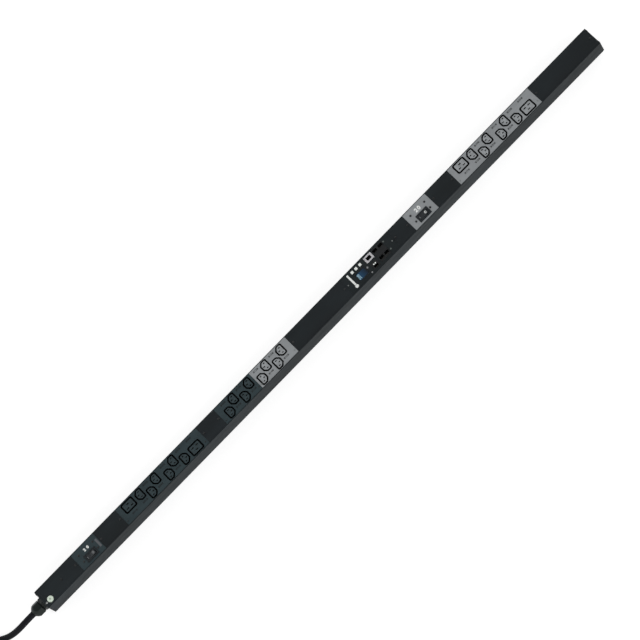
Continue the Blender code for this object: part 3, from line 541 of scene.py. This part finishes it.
def add_print(bm, x, y, half_x, half_y):
    """A thin printed block, centred on a point of the face."""
    middle = Vector((x, y, FACE_Z))
    half = Vector((half_x, half_y, 0))
    add_block(bm, middle - half, middle + half + Vector((0, 0, PRINT_RISE)))


def add_frame(bm, middle, half, inset, bar, rise, bevel):
    """Four bars, 2 * bar wide, round a rectangle; their middles lie inset from its edges."""
    for axis in (0, 1):
        for side in (-1, 1):
            centre = Vector(middle)
            centre[axis] += side * (half[axis] - inset)
            reach = Vector((half[0], half[1], 0))
            reach[axis] = bar
            add_block(bm, centre - reach, centre + reach + Vector((0, 0, rise)), bevel)


def add_rings(bm, rows, matrix, segments=32, shape=None):
    """Rings about local Z, placed by a matrix, one for each (radius, height, ...) row.

    shape(row, angle) gives a radius that changes round the ring. A radius of 0 is a single point.
    """
    rings = []
    for row in rows:
        ring = []
        for step in range(segments if row[0] > 1e-7 else 1):
            angle = 2 * math.pi * step / segments
            reach = shape(row, angle) if shape else row[0]
            point = (reach * math.cos(angle), reach * math.sin(angle), row[1])
            ring.append(bm.verts.new(matrix @ Vector(point)))
        rings.append(ring)
    return rings


def join_rings(bm, rings, closed=False):
    """Faces between neighbouring rings; a ring of one point closes to a fan."""
    pairs = list(zip(rings, rings[1:]))
    if closed:
        pairs.append((rings[-1], rings[0]))
    for first, second in pairs:
        count = max(len(first), len(second))
        for step in range(count):
            after = (step + 1) % count
            if len(first) == 1:
                bm.faces.new((first[0], second[step], second[after]))
            elif len(second) == 1:
                bm.faces.new((first[step], second[0], first[after]))
            else:
                bm.faces.new((first[step], second[step], second[after], first[after]))


def along_strip(x, y, z, side=1):
    """Placement with local X and Y along the strip's Y and Z, and local Z along +X or -X."""
    return Matrix(((0, 0, side, x), (1, 0, 0, y), (0, 1, 0, z), (0, 0, 0, 1)))


def cross_shaped(row, angle):
    """Radius of a cross recess at an angle."""
    return row[0] * (0.35 + 0.65 * abs(math.cos(2 * angle)) ** 3)


def add_screw(bm, matrix, radius, rise):
    """A pan-head screw with a cross recess, cut as a sunk star in its crown."""
    head = [(radius * share, height * rise) for share, height in PAN_HEAD]
    recess = [(radius * 0.5 * share, height * rise) for share, height in PAN_RECESS]
    rings = add_rings(bm, head, matrix) + add_rings(bm, recess, matrix, shape=cross_shaped)
    join_rings(bm, rings + add_rings(bm, [(0.0, 0.05 * rise)], matrix))
    bm.faces.new(list(reversed(rings[0])))


def add_lettering(bm, text, x, y, z, height, turn=0.0, bold=0.0):
    """Raised printed characters, centred on a point of the face."""
    curve = bpy.data.curves.new("lettering", "FONT")
    curve.body = text
    curve.size = height / 0.69
    curve.align_x = "CENTER"
    curve.align_y = "CENTER"
    curve.extrude = 0.03 * MM
    curve.offset = bold
    curve.resolution_u = 3
    guide = add_object("lettering", curve)
    bpy.context.view_layer.update()
    graph = bpy.context.evaluated_depsgraph_get()
    mesh = bpy.data.meshes.new_from_object(guide.evaluated_get(graph))
    mesh.transform(Matrix.Translation((x, y, z)) @ Matrix.Rotation(turn, 4, "Z"))
    bm.from_mesh(mesh)
    bpy.data.objects.remove(guide)
    bpy.data.meshes.remove(mesh)


def dress(name, material, width, segments=2):
    """Give a CAD node its material and, with a width, edges rounded by modifiers; its mesh stays."""
    node = NODES[name]
    node.data.materials.clear()
    node.data.materials.append(material)
    if not width:
        return
    node.modifiers.new("weld", "WELD").merge_threshold = 0.00001
    if name not in PIERCED:
        flat = node.modifiers.new("flatten", "DECIMATE")
        flat.decimate_type = "DISSOLVE"
        flat.angle_limit = math.radians(0.5)
    bevel = node.modifiers.new("edges", "BEVEL")
    bevel.width = width
    bevel.segments = segments
    bevel.limit_method = "ANGLE"
    bevel.angle_limit = math.radians(30)
    bevel.use_clamp_overlap = False
    node.modifiers.new("shade", "WEIGHTED_NORMAL").keep_sharp = False


# ---- supply cord, strap, plug and gland ----
def smooth_step(start, end, value):
    """0 before start, 1 after end, and a smooth rise between them."""
    t = min(max((value - start) / (end - start), 0.0), 1.0)
    return t * t * (3 - 2 * t)


def lap_point(lap, part, t):
    """A point of the hank: part 0 is the +Y run, 1 the far end, 2 the -Y run, 3 the near end."""
    step_in = smooth_step(0.5, 1.0, t) if part == 2 else float(part == 3)
    step_down = smooth_step(0.1, 0.55, t) if part == 2 else float(part == 3)
    rise = smooth_step(0.0, 1.0, t) if part == 3 else 0.0
    radius = TURN_OUTER if lap < 1 else TURN_INNER
    height = LAYER_LOW if lap in (0, 3) else LAYER_HIGH
    if lap == 0:
        height += rise * CORD_D
    elif lap == 1:
        radius = TURN_OUTER - step_in * CORD_D
    elif lap == 2:
        height -= step_down * CORD_D
    if part == 0:
        return (HANK_X - HANK_RUN * t, HANK_Y + radius, height)
    if part == 2:
        return (HANK_X - HANK_RUN * (1 - t), HANK_Y - radius, height)
    angle = math.radians(90 + 180 * t if part == 1 else -90 + 180 * t)
    centre = HANK_X - HANK_RUN if part == 1 else HANK_X
    return (centre + radius * math.cos(angle), HANK_Y + radius * math.sin(angle), height)


def cord_route():
    """The whole cord: lead, four turns of the hank, and the tail to the plug."""
    steps = 12
    points = list(LEAD_ROUTE)
    for lap in range(4):
        for part in range(4):
            if lap == 3 and part >= 2:
                break
            points += [lap_point(lap, part, step / steps) for step in range(steps)]
    leaving = Vector(lap_point(3, 1, 1.0))
    for step in range(5):
        forward = (TAIL_ROUTE[0][0] - leaving.x) * step / 5
        inward = TAIL_BEND - math.sqrt(TAIL_BEND**2 - forward**2)
        points.append(leaving + Vector((forward, inward, 0)))
    return points + list(TAIL_ROUTE)


def curve_through(route):
    """Points of a smooth curve through the route's points (a Catmull-Rom curve)."""
    steps = 8
    points = [Vector(point) for point in route]
    padded = [2 * points[0] - points[1], *points, 2 * points[-1] - points[-2]]
    out = [points[0]]
    for index in range(len(points) - 1):
        p0, p1, p2, p3 = padded[index : index + 4]
        for step in range(1, steps + 1):
            t = step / steps
            square = (2 * p0 - 5 * p1 + 4 * p2 - p3) * t**2
            cube = (3 * p1 - p0 - 3 * p2 + p3) * t**3
            out.append((2 * p1 + (p2 - p0) * t + square + cube) / 2)
    return out


def evenly(points, step):
    """The same line, with its points the same distance apart."""
    length = sum((b - a).length for a, b in zip(points, points[1:]))
    count = max(2, round(length / step))
    spacing = length / count
    out = [points[0]]
    walked = 0.0
    for a, b in zip(points, points[1:]):
        span = (b - a).length
        while len(out) < count and walked + span >= spacing * len(out):
            out.append(a.lerp(b, (spacing * len(out) - walked) / span))
        walked += span
    return [*out, points[-1]]


def relaxed(points, passes):
    """The same line, each point eased towards its neighbours' middle."""
    for _ in range(passes):
        eased = [(a + 2 * b + c) / 4 for a, b, c in zip(points, points[1:], points[2:])]
        points = [points[0], *eased, points[-1]]
    return points


def build_cord(on_cord):
    """The supply cord as one smooth curve at its full length."""
    curve = bpy.data.curves.new("supply_cord", "CURVE")
    curve.dimensions = "3D"
    curve.bevel_depth = CORD_R
    curve.bevel_resolution = 6
    curve.use_fill_caps = True
    spline = curve.splines.new("POLY")
    points = relaxed(evenly(curve_through(cord_route()), CORD_STEP), 3)
    spline.points.add(len(points) - 1)
    for point, place in zip(spline.points, points):
        point.co = (*place, 1)
    spline.use_smooth = True
    curve.materials.append(SHEATH)
    cord = add_object("supply_cord", curve)
    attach(cord, "root")
    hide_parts("cord_lead", "cord_hank", "cord_tail")


def add_ribbon(bm, path, width, thickness, closed=False):
    """A flat strap along X-wide rings; path holds (point, outward normal) pairs."""
    shares = (-1.0, -0.9, -0.5, 0.0, 0.5, 0.9, 1.0)
    rings = []
    for point, normal in path:
        ring = []
        for side in (1, -1):
            for share in shares if side > 0 else reversed(shares):
                crown = thickness / 2 * (0.35 if abs(share) == 1 else 1.0)
                offset = Vector((share * width / 2, 0, 0)) + normal * (side * crown)
                ring.append(bm.verts.new(point + offset))
        rings.append(ring)
    join_rings(bm, rings, closed)
    if not closed:
        bm.faces.new(rings[0])
        bm.faces.new(list(reversed(rings[-1])))


def strap_path(middle_x):
    """The strap's loop round the hank: round the four outer cords, sagging between the runs."""
    reach = CORD_R + 0.3 * MM + STRAP / 2
    corners = (
        (HANK_Y + TURN_OUTER, LAYER_HIGH, 0),
        (HANK_Y - TURN_OUTER, LAYER_HIGH, 90),
        (HANK_Y - TURN_OUTER, LAYER_LOW, 180),
        (HANK_Y + TURN_OUTER, LAYER_LOW, 270),
    )
    path = []
    for index, (y, z, start) in enumerate(corners):
        for step in range(7):
            angle = math.radians(start + 15 * step)
            normal = Vector((0, math.cos(angle), math.sin(angle)))
            path.append((Vector((middle_x, y, z)) + normal * reach, normal))
        if index == 0:
            for step in range(1, 12):
                t = step / 12
                sag = 1.6 * MM * math.sin(math.pi * t)
                place = Vector((middle_x, y - 2 * TURN_OUTER * t, z + reach - sag))
                path.append((place, Vector((0, 0, 1))))
    return path


def build_strap():
    """The hook-and-loop strap round the hank, with its lapped and lifting free end."""
    low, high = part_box("hank_tie")
    width = high.x - low.x
    bm = bmesh.new()
    loop = strap_path((low.x + high.x) / 2)
    add_ribbon(bm, loop, width, STRAP, closed=True)
    lap = [(point + normal * (STRAP * 1.12), normal) for point, normal in loop[5:15]]
    for step, lift in enumerate((0.4, 1.3, 2.6)):
        place = lap[-1][0] + Vector((0, -6 * MM, lift * MM * (0.3 + 0.2 * step)))
        lap.append((place, Vector((0, -0.1, 1)).normalized()))
    add_ribbon(bm, lap, width * 0.97, STRAP)
    piece = add_piece("hank_strap", bm, WEBBING, angle=50)
    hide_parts("hank_tie")
    return piece


def build_plug():
    """The plug's body: a ribbed strain relief and a round grip with shallow finger flutes."""
    low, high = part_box("plug_body")
    full = (high.z - low.z) / 2 / MM
    stations = [(0.0, 7.6, 0.0), (0.0, 9.4, 0.0), (0.6, 10.0, 0.0)]
    for rib in range(5):
        start = 1.6 + 2.7 * rib
        radius = 10.4 + 0.72 * rib
        rib_steps = ((0.0, 0.0), (0.35, -1.3), (1.05, -1.3), (1.4, 0.25))
        stations += [(start + ahead, radius + out, 0.0) for ahead, out in rib_steps]
    rows = [(radius, distance * MM, flute) for distance, radius, flute in (*stations, *PLUG_GRIP)]

    def fluted(row, angle):
        return min(row[0] - row[2] * max(0.0, math.cos(angle * PLUG_FLUTES)) ** 0.7, full) * MM

    bm = bmesh.new()
    place = along_strip(low.x, (low.y + high.y) / 2, (low.z + high.z) / 2)
    rings = add_rings(bm, rows, place, 96, fluted)
    join_rings(bm, rings)
    bm.faces.new(rings[-1])
    bm.faces.new(list(reversed(rings[0])))
    piece = add_piece("plug_grip", bm, GRIP_RUBBER, angle=50)
    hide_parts("plug_body")
    return piece


def build_nut():
    """The gland's dome nut: six flats that run out into a round crown, with a bore."""
    rows = [(crown, distance * MM, flat) for distance, flat, crown in NUT]

    def six_sided(row, angle):
        off_flat = (angle % math.radians(60)) - math.radians(30)
        return min(row[2] / math.cos(off_flat), row[0]) * MM

    bm = bmesh.new()
    join_rings(bm, add_rings(bm, rows, along_strip(CORD_END, 0, GLAND_Z, -1), 72, six_sided), closed=True)
    piece = add_piece("dome_nut", bm, GLAND_NYLON, angle=28)
    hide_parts("gland_nut")
    return piece


def build_gland_seal():
    """The seal's lip, where the cord leaves the dome nut, and the ring against the end cap."""
    bm = bmesh.new()
    for profile, start in ((SEAL_LIP, 35.0), (SEAL_RIM, 9.0)):
        rows = [(radius * MM, (start + height) * MM) for radius, height in profile]
        join_rings(bm, add_rings(bm, rows, along_strip(CORD_END, 0, GLAND_Z, -1), 48), closed=True)
    return add_piece("gland_seal", bm, SHEATH, angle=40)


# ---- details on the strip ----
def along(distance):
    """World X of a distance in mm from the cord end."""
    return CORD_END + distance * MM


def outlets():
    """Each outlet as (number, kind, x, y, row, bezel), counted from the cord end."""
    number = 0
    found = []
    for bezel, bank in BANKS.items():
        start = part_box(bezel)[0].x
        for kind, distance, row in bank:
            number += 1
            found.append((number, kind, start + distance * MM, row * ROW_Y[kind], row, bezel))
    return found


def build_labels():
    """A number between two pairs of bars beside every outlet."""
    for tone, bezels, material in (("dark", DARK_BEZELS, DIM_INK), ("light", LIGHT_BEZELS, GREY_INK)):
        bm = bmesh.new()
        for number, _kind, x, _y, row, bezel in outlets():
            if bezel not in bezels:
                continue
            y = LABEL_Y[row]
            add_lettering(bm, f"{number:02d}", x, y, FACE_Z + PRINT_LIFT, LABEL_SIZE, bold=0.2 * MM)
            for side in (-1, 1):
                for level in (-1, 1):
                    add_print(bm, x + side * LABEL_BAR_AT[0], y + level * LABEL_BAR_AT[1], *LABEL_BAR_HALF)
        add_piece(f"outlet_numbers_{tone}", bm, material)


def build_contacts():
    """Two sprung leaves in every contact slot."""
    for bezel in BANKS:
        bm = bmesh.new()
        for _number, kind, x, y, row, at_bezel in outlets():
            if at_bezel != bezel:
                continue
            for slot_x, slot_y, size_x, size_y in SLOTS[kind]:
                middle = Vector((x + row * slot_x * MM, y + row * slot_y * MM, FACE_Z))
                for side in (-1, 1):
                    inner = (size_y / 2 - 0.5) * side * MM
                    outer = (size_y / 2 - 0.15) * side * MM
                    low = middle + Vector((-(size_x / 2 - 0.3) * MM, min(inner, outer), -9.5 * MM))
                    high = middle + Vector(((size_x / 2 - 0.3) * MM, max(inner, outer), -2.4 * MM))
                    add_block(bm, low, high, 0.12 * MM)
        add_piece(f"{bezel}_contacts", bm, BRASS)


def screw_places():
    """(x, y) of the front's screws: large dark, small dark (dark outlets) and small bright ones."""
    dark = []
    small = []
    bright = []
    for name in NODES:
        low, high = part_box(name)
        if name.startswith("blank_plate"):
            first = low.x + (64 if name == "blank_plate_1" else 6) * MM
            dark += [(first, 0.0), (high.x - 6 * MM, 0.0)]
        elif name.startswith("outlet_bezel"):
            sunk = bright if name in LIGHT_BEZELS else small
            sunk += [(low.x + 4.4 * MM, -16 * MM), (high.x - 4.4 * MM, -16 * MM)]
        elif name.startswith("breaker_bezel"):
            dark += [(low.x + s * MM, y * MM) for s in (13.9, 59.2) for y in (10.5, -9.1)]
        elif name == "meter_bezel":
            bright += [(low.x + 5.3 * MM, 0.0), (high.x - 4.6 * MM, 0.0)]
    return dark, small, bright


def build_face_screws():
    """Cross-head screws that hold the front's plates, bezels and breakers."""
    dark, small, bright = screw_places()
    for name, places, radius, material, slot in (
        ("front_screws_black", dark, FACE_SCREW, SCREW_BLACK, "black_steel"),
        ("front_screws_small", small, SMALL_SCREW, SCREW_BLACK, "black_steel"),
        ("front_screws_bright", bright, SMALL_SCREW, DULL_ZINC, "zinc"),
    ):
        bm = bmesh.new()
        for x, y in places:
            add_screw(bm, Matrix.Translation((x, y, FACE_Z)), radius, SCREW_RISE)
        add_piece(name, bm, material)


def build_end_screws():
    """Four screws in each end cap."""
    bm = bmesh.new()
    for x, side in ((CORD_END, -1), (FAR_END, 1)):
        for y in (-20 * MM, 20 * MM):
            for z in (BACK_Z + END_SCREW_INSET, FACE_Z - END_SCREW_INSET):
                add_screw(bm, along_strip(x, y, z, side), END_SCREW, END_SCREW_RISE)
    add_piece("end_cap_screws", bm, SCREW_BLACK)


def build_earth_screw():
    """The earth screw's broad cross head on its toothed washer, and the mark beside it."""
    x, y, _top = top_middle(*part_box("earth_screw"))
    bm = bmesh.new()
    add_screw(bm, Matrix.Translation((x, y, FACE_Z + WASHER[-1][1] * MM)), EARTH_SCREW, EARTH_SCREW_RISE)

    def toothed(row, angle):
        return row[0] + row[2] * (round(angle * 48 / math.pi) // 3 % 2)

    rows = [(radius * MM, height * MM, tooth * MM) for radius, height, tooth in WASHER]
    join_rings(bm, add_rings(bm, rows, Matrix.Translation((x, y, FACE_Z)), 96, toothed), closed=True)
    screw = add_piece("earth_screw_head", bm, PALE_ZINC)
    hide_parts("earth_screw")

    bm = bmesh.new()
    mark_x = x - 11.8 * MM
    mark_y = y - 0.6 * MM
    half_line = 0.32 * MM
    for offset, half in ((0.0, 2.6), (1.3, 1.7), (2.6, 0.8)):
        add_print(bm, mark_x - offset * MM, mark_y, half_line, half * MM)
    add_print(bm, mark_x + 1.4 * MM, mark_y, 1.4 * MM, half_line)
    add_piece("earth_mark", bm, WHITE_INK)


def rocker_frame(number):
    """Placement of a breaker's rocker at rest: its pivot, tilted towards the cord end."""
    place = Vector((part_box(f"breaker_bezel_{number}")[0].x, 0, FACE_Z)) + Vector(ROCKER_AT)
    return Matrix.Translation(place) @ Matrix.Rotation(ROCKER_REST, 4, "Y")


def build_breaker_details(number):
    """Rating legend, frame round the rocker, and the I and O marks on the rocker, whose grey tones and
    places also paint its highlights.
    """
    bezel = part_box(f"breaker_bezel_{number}")[0]
    bm = bmesh.new()
    height, *places = LEGENDS[number]
    for digit, offset in zip("20", places):
        x = bezel.x + offset * MM
        add_lettering(bm, digit, x, LEGEND_Y, FACE_Z + PRINT_LIFT, height * MM, bold=0.6 * MM)
    add_piece(f"breaker_legend_{number}", bm, WHITE_INK)

    middle = top_middle(*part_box(f"breaker_case_{number}"))
    bm = bmesh.new()
    for half_x, half_y, width in BREAKER_FRAMES:
        add_frame(bm, middle, (half_x * MM, half_y * MM), 0, width / 2 * MM, 0.35 * MM, 0.12 * MM)
    add_piece(f"breaker_frame_{number}", bm, BREAKER_PLASTIC)

    for side, text, reach, turn in ROCKER_MARKS:
        bm = bmesh.new()
        add_lettering(bm, text, 0, 0, 0, 5.0 * MM, math.radians(turn), 0.2 * MM)
        rise = ROCKER_TOP + reach * math.tan(ROCKER_SLOPE) + 0.03 * MM
        place = Matrix.Translation((side * reach, 0, rise)) @ Matrix.Rotation(-side * ROCKER_SLOPE, 4, "Y")
        bmesh.ops.transform(bm, matrix=rocker_frame(number) @ place, verts=bm.verts)
        name = f"rocker_mark_{'off' if text == 'O' else 'on'}_{number}"
        # The marks' grey inks also paint the rocker's highlights, besides the printed I and O.
        material = WHITE_INK if (number, text) == (2, "O") else MARK_INK_AND_HIGHLIGHT
        add_piece(name, bm, material, f"breaker_{number}")


def build_rating_strip():
    """The blank pale strip printed at the end of the first breaker's panel."""
    bm = bmesh.new()
    add_print(bm, along(185.3), -0.75 * MM, 2.7 * MM, 11.25 * MM)
    add_piece("rating_strip", bm, STRIP_INK)


def build_meter_stripe():
    """The plain white stripe and dot printed across the meter's bezel."""
    bm = bmesh.new()
    x = along(1016.4)
    add_print(bm, x, 3.5 * MM, 2.3 * MM, 16.0 * MM)
    dot = ((0.0, 0.0), (4.3 * MM, 0.0), (4.3 * MM, PRINT_RISE), (0.0, PRINT_RISE))
    join_rings(bm, add_rings(bm, dot, Matrix.Translation((x, -15.6 * MM, FACE_Z))))
    add_piece("meter_stripe", bm, WHITE_INK)


def build_display_details():
    """Digits lit in the display, and a slim frame round its window."""
    low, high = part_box("display_window")
    middle = top_middle(low, high)
    bm = bmesh.new()
    x = low.x + 5.2 * MM
    add_lettering(bm, "208", x, middle.y, high.z + 0.03 * MM, 6.4 * MM, math.radians(90), 0.35 * MM)
    add_piece("display_digits", bm, DIGIT_INK)

    bm = bmesh.new()
    add_frame(bm, middle, (high - low) / 2, 0.45 * MM, 0.4 * MM, 0.55 * MM, 0.15 * MM)
    add_piece("display_frame", bm, MODULE_PLASTIC)


def build_lamps():
    """Small lamp lenses beside the jacks, and the pair on the sensor jack."""
    tops = (FACE_Z, FACE_Z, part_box("sensor_jack")[1].z)
    for (name, places), material, top in zip(LAMPS, (GREY_LAMP, DULL_LAMP, WHITE_LAMP), tops):
        bm = bmesh.new()
        for distance, y, radius in places:
            dome = [(radius * math.cos(a) * MM, math.sin(a) * LAMP_RISE) for a in (0.0, 0.4, 0.8, 1.2)]
            rows = [(0.0, 0.0), *dome, (0.0, LAMP_RISE)]
            join_rings(bm, add_rings(bm, rows, Matrix.Translation((along(distance), y * MM, top)), 24))
        add_piece(name, bm, material, angle=60)


def ports():
    """Each modular port's opening from the record, as (name, low, high) corners."""
    openings = frame["record"]["physics"]["openings"]
    return [(opening["name"], *map(Vector, opening["box_m"])) for opening in openings]


def build_port_contacts():
    """Eight sprung wires on the floor of each modular port."""
    bm = bmesh.new()
    for _name, low, high in ports():
        pitch = (high.x - low.x) / 9.5
        for wire in range(8):
            x = (low.x + high.x) / 2 + (wire - 3.5) * pitch
            for step in range(3):
                start = Vector((x - 0.22 * MM, low.y + (0.3 + 0.7 * step) * MM, low.z + 2.6 * step * MM))
                end = start + Vector((0.44 * MM, 0.5 * MM, 2.9 * MM))
                add_block(bm, start, end, 0.08 * MM)
    add_piece("port_contacts", bm, BRASS)


def build_port_frames():
    """A raised lip round each modular port but the shielded one."""
    bm = bmesh.new()
    for name, low, high in ports():
        if name == "shielded_port":
            continue
        owner = "sensor_jack" if name == "sensor_port" else "link_jack_block"
        middle = top_middle(low, high)
        middle.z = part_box(owner)[1].z
        half = (high - low) / 2 + Vector((0.9, 0.9, 0)) * MM
        add_frame(bm, middle, half, 0, 0.35 * MM, 0.3 * MM, 0.1 * MM)
    add_piece("port_frames", bm, JACK_PLASTIC)


def build_shield_springs():
    """Grounding springs at the shielded jack's mouth."""
    _name, low, high = ports()[0]
    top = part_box("shielded_jack")[1].z
    bm = bmesh.new()
    for side in (-1, 1):
        for share in (-0.28, 0.28):
            x = (low.x + high.x) / 2 + share * (high.x - low.x)
            edge = high.y if side > 0 else low.y
            corner = Vector((x - 1.1 * MM, min(edge, edge - side * 0.5 * MM), top - 8.5 * MM))
            add_block(bm, corner, corner + Vector((2.2 * MM, 0.5 * MM, 5.3 * MM)), 0.15 * MM)
    add_piece("shield_springs", bm, NICKEL)


# ---- the CAD nodes' own finishes ----
def dress_nodes():
    """Materials and rounded edges, in mm, of the CAD nodes that stay, by how their names start."""
    looks = (
        ("chassis", SIDE_COAT_LIT_COPY, 0.5),
        ("end_cap", FACE_COAT, 0.0),
        ("blank_plate", FACE_COAT, 0.35),
        (("bank_1", "bank_2"), DARK_OUTLET, 0.25),
        (("bank_3", "bank_4"), LIGHT_OUTLET, 0.25),
        ("busbar", COPPER, 0.2),
        ("rear_peg", ZINC, 0.0),
        ("display_button", BUTTON_PLASTIC, 0.5, 3),
        ("breaker_case", BREAKER_PLASTIC, 0.4),
        ("breaker_rocker", ROCKER_PLASTIC, 0.5, 3),
        (DARK_BEZELS, DARK_MOULD, 0.3),
        (LIGHT_BEZELS, LIGHT_MOULD, 0.3),
        ("meter_bezel", MODULE_PLASTIC, 0.3),
        ("display_window", DISPLAY, 0.2),
        ("shielded_jack", SHIELD, 0.3),
        (("sensor_jack", "link_jack_block"), JACK_PLASTIC, 0.25),
        ("meter_board", BOARD, 0.1),
        ("terminal_block", TERMINAL_PLASTIC, 0.5),
        ("gland_body", GLAND_NYLON, 0.0),
        ("plug_face", PLUG_INSERT, 0.4),
    )
    for start, material, width, *segments in looks:
        for name in [name for name in NODES if name.startswith(start)]:
            dress(name, material, width * MM, *segments)


# ---- stage, camera and light ----
def build_stage():
    """A plain pale floor."""
    bpy.ops.mesh.primitive_plane_add(size=FLOOR_SIZE, location=(0, 0, 0))
    floor = bpy.context.object
    floor.name = "floor"
    floor.data.materials.append(FLOOR)


def build_camera():
    """A long lens above the strip, tilted to show its side and rolled to lay it corner to corner."""
    data = bpy.data.cameras.new("camera")
    camera = add_object("camera", data)
    data.lens = CAMERA_LENS
    data.clip_end = 50
    elevation = math.radians(CAMERA_ELEVATION)
    azimuth = math.radians(CAMERA_AZIMUTH)
    level_back = Vector((math.sin(azimuth), -math.cos(azimuth), 0))
    back = level_back * math.cos(elevation) + Vector((0, 0, math.sin(elevation)))
    camera.location = Vector(CAMERA_AIM) + back * CAMERA_DISTANCE
    right = Vector((math.cos(azimuth), math.sin(azimuth), 0))
    level = Matrix((right, back.cross(right), back)).transposed()
    camera.rotation_euler = (level @ Matrix.Rotation(math.radians(CAMERA_ROLL), 3, "Z")).to_euler()
    bpy.context.scene.camera = camera


def build_lights():
    """A studio that is bright all round and darker overhead, with one broad key light."""
    world = bpy.data.worlds.new("studio")
    bpy.context.scene.world = world
    world.use_nodes = True
    nodes = world.node_tree.nodes
    links = world.node_tree.links
    split = nodes.new("ShaderNodeSeparateXYZ")
    links.new(nodes.new("ShaderNodeTexCoord").outputs["Generated"], split.inputs["Vector"])
    fall = nodes.new("ShaderNodeMapRange")
    fall.interpolation_type = "SMOOTHSTEP"
    links.new(split.outputs["Z"], fall.inputs["Value"])
    levels = (OVERHEAD_FROM, OVERHEAD_FULL, ROUND_LIGHT, OVERHEAD_LIGHT)
    for socket, number in zip(("From Min", "From Max", "To Min", "To Max"), levels):
        fall.inputs[socket].default_value = number
    links.new(fall.outputs["Result"], nodes["Background"].inputs["Strength"])
    nodes["Background"].inputs["Color"].default_value = (1, 1, 1, 1)

    key = bpy.data.lights.new("key", "SUN")
    key.energy = KEY_LIGHT
    key.angle = KEY_SPREAD
    lamp = add_object("key", key)
    lamp.rotation_euler = Vector(KEY_FROM).to_track_quat("Z", "Y").to_euler()
    bpy.context.scene.view_settings.view_transform = "Standard"


build_camera()
plug = [build_plug(), NODES["plug_face"]]
gland = [build_nut(), build_gland_seal(), NODES["gland_body"]]
build_cord([*plug, *gland, build_strap()])
dress_nodes()
for build in (build_labels, build_contacts, build_face_screws, build_end_screws, build_earth_screw):
    build()
for breaker in (1, 2):
    build_breaker_details(breaker)
for build in (build_rating_strip, build_meter_stripe, build_display_details, build_lamps):
    build()
for build in (build_port_contacts, build_port_frames, build_shield_springs, build_stage, build_lights):
    build()
bpy.context.view_layer.update()
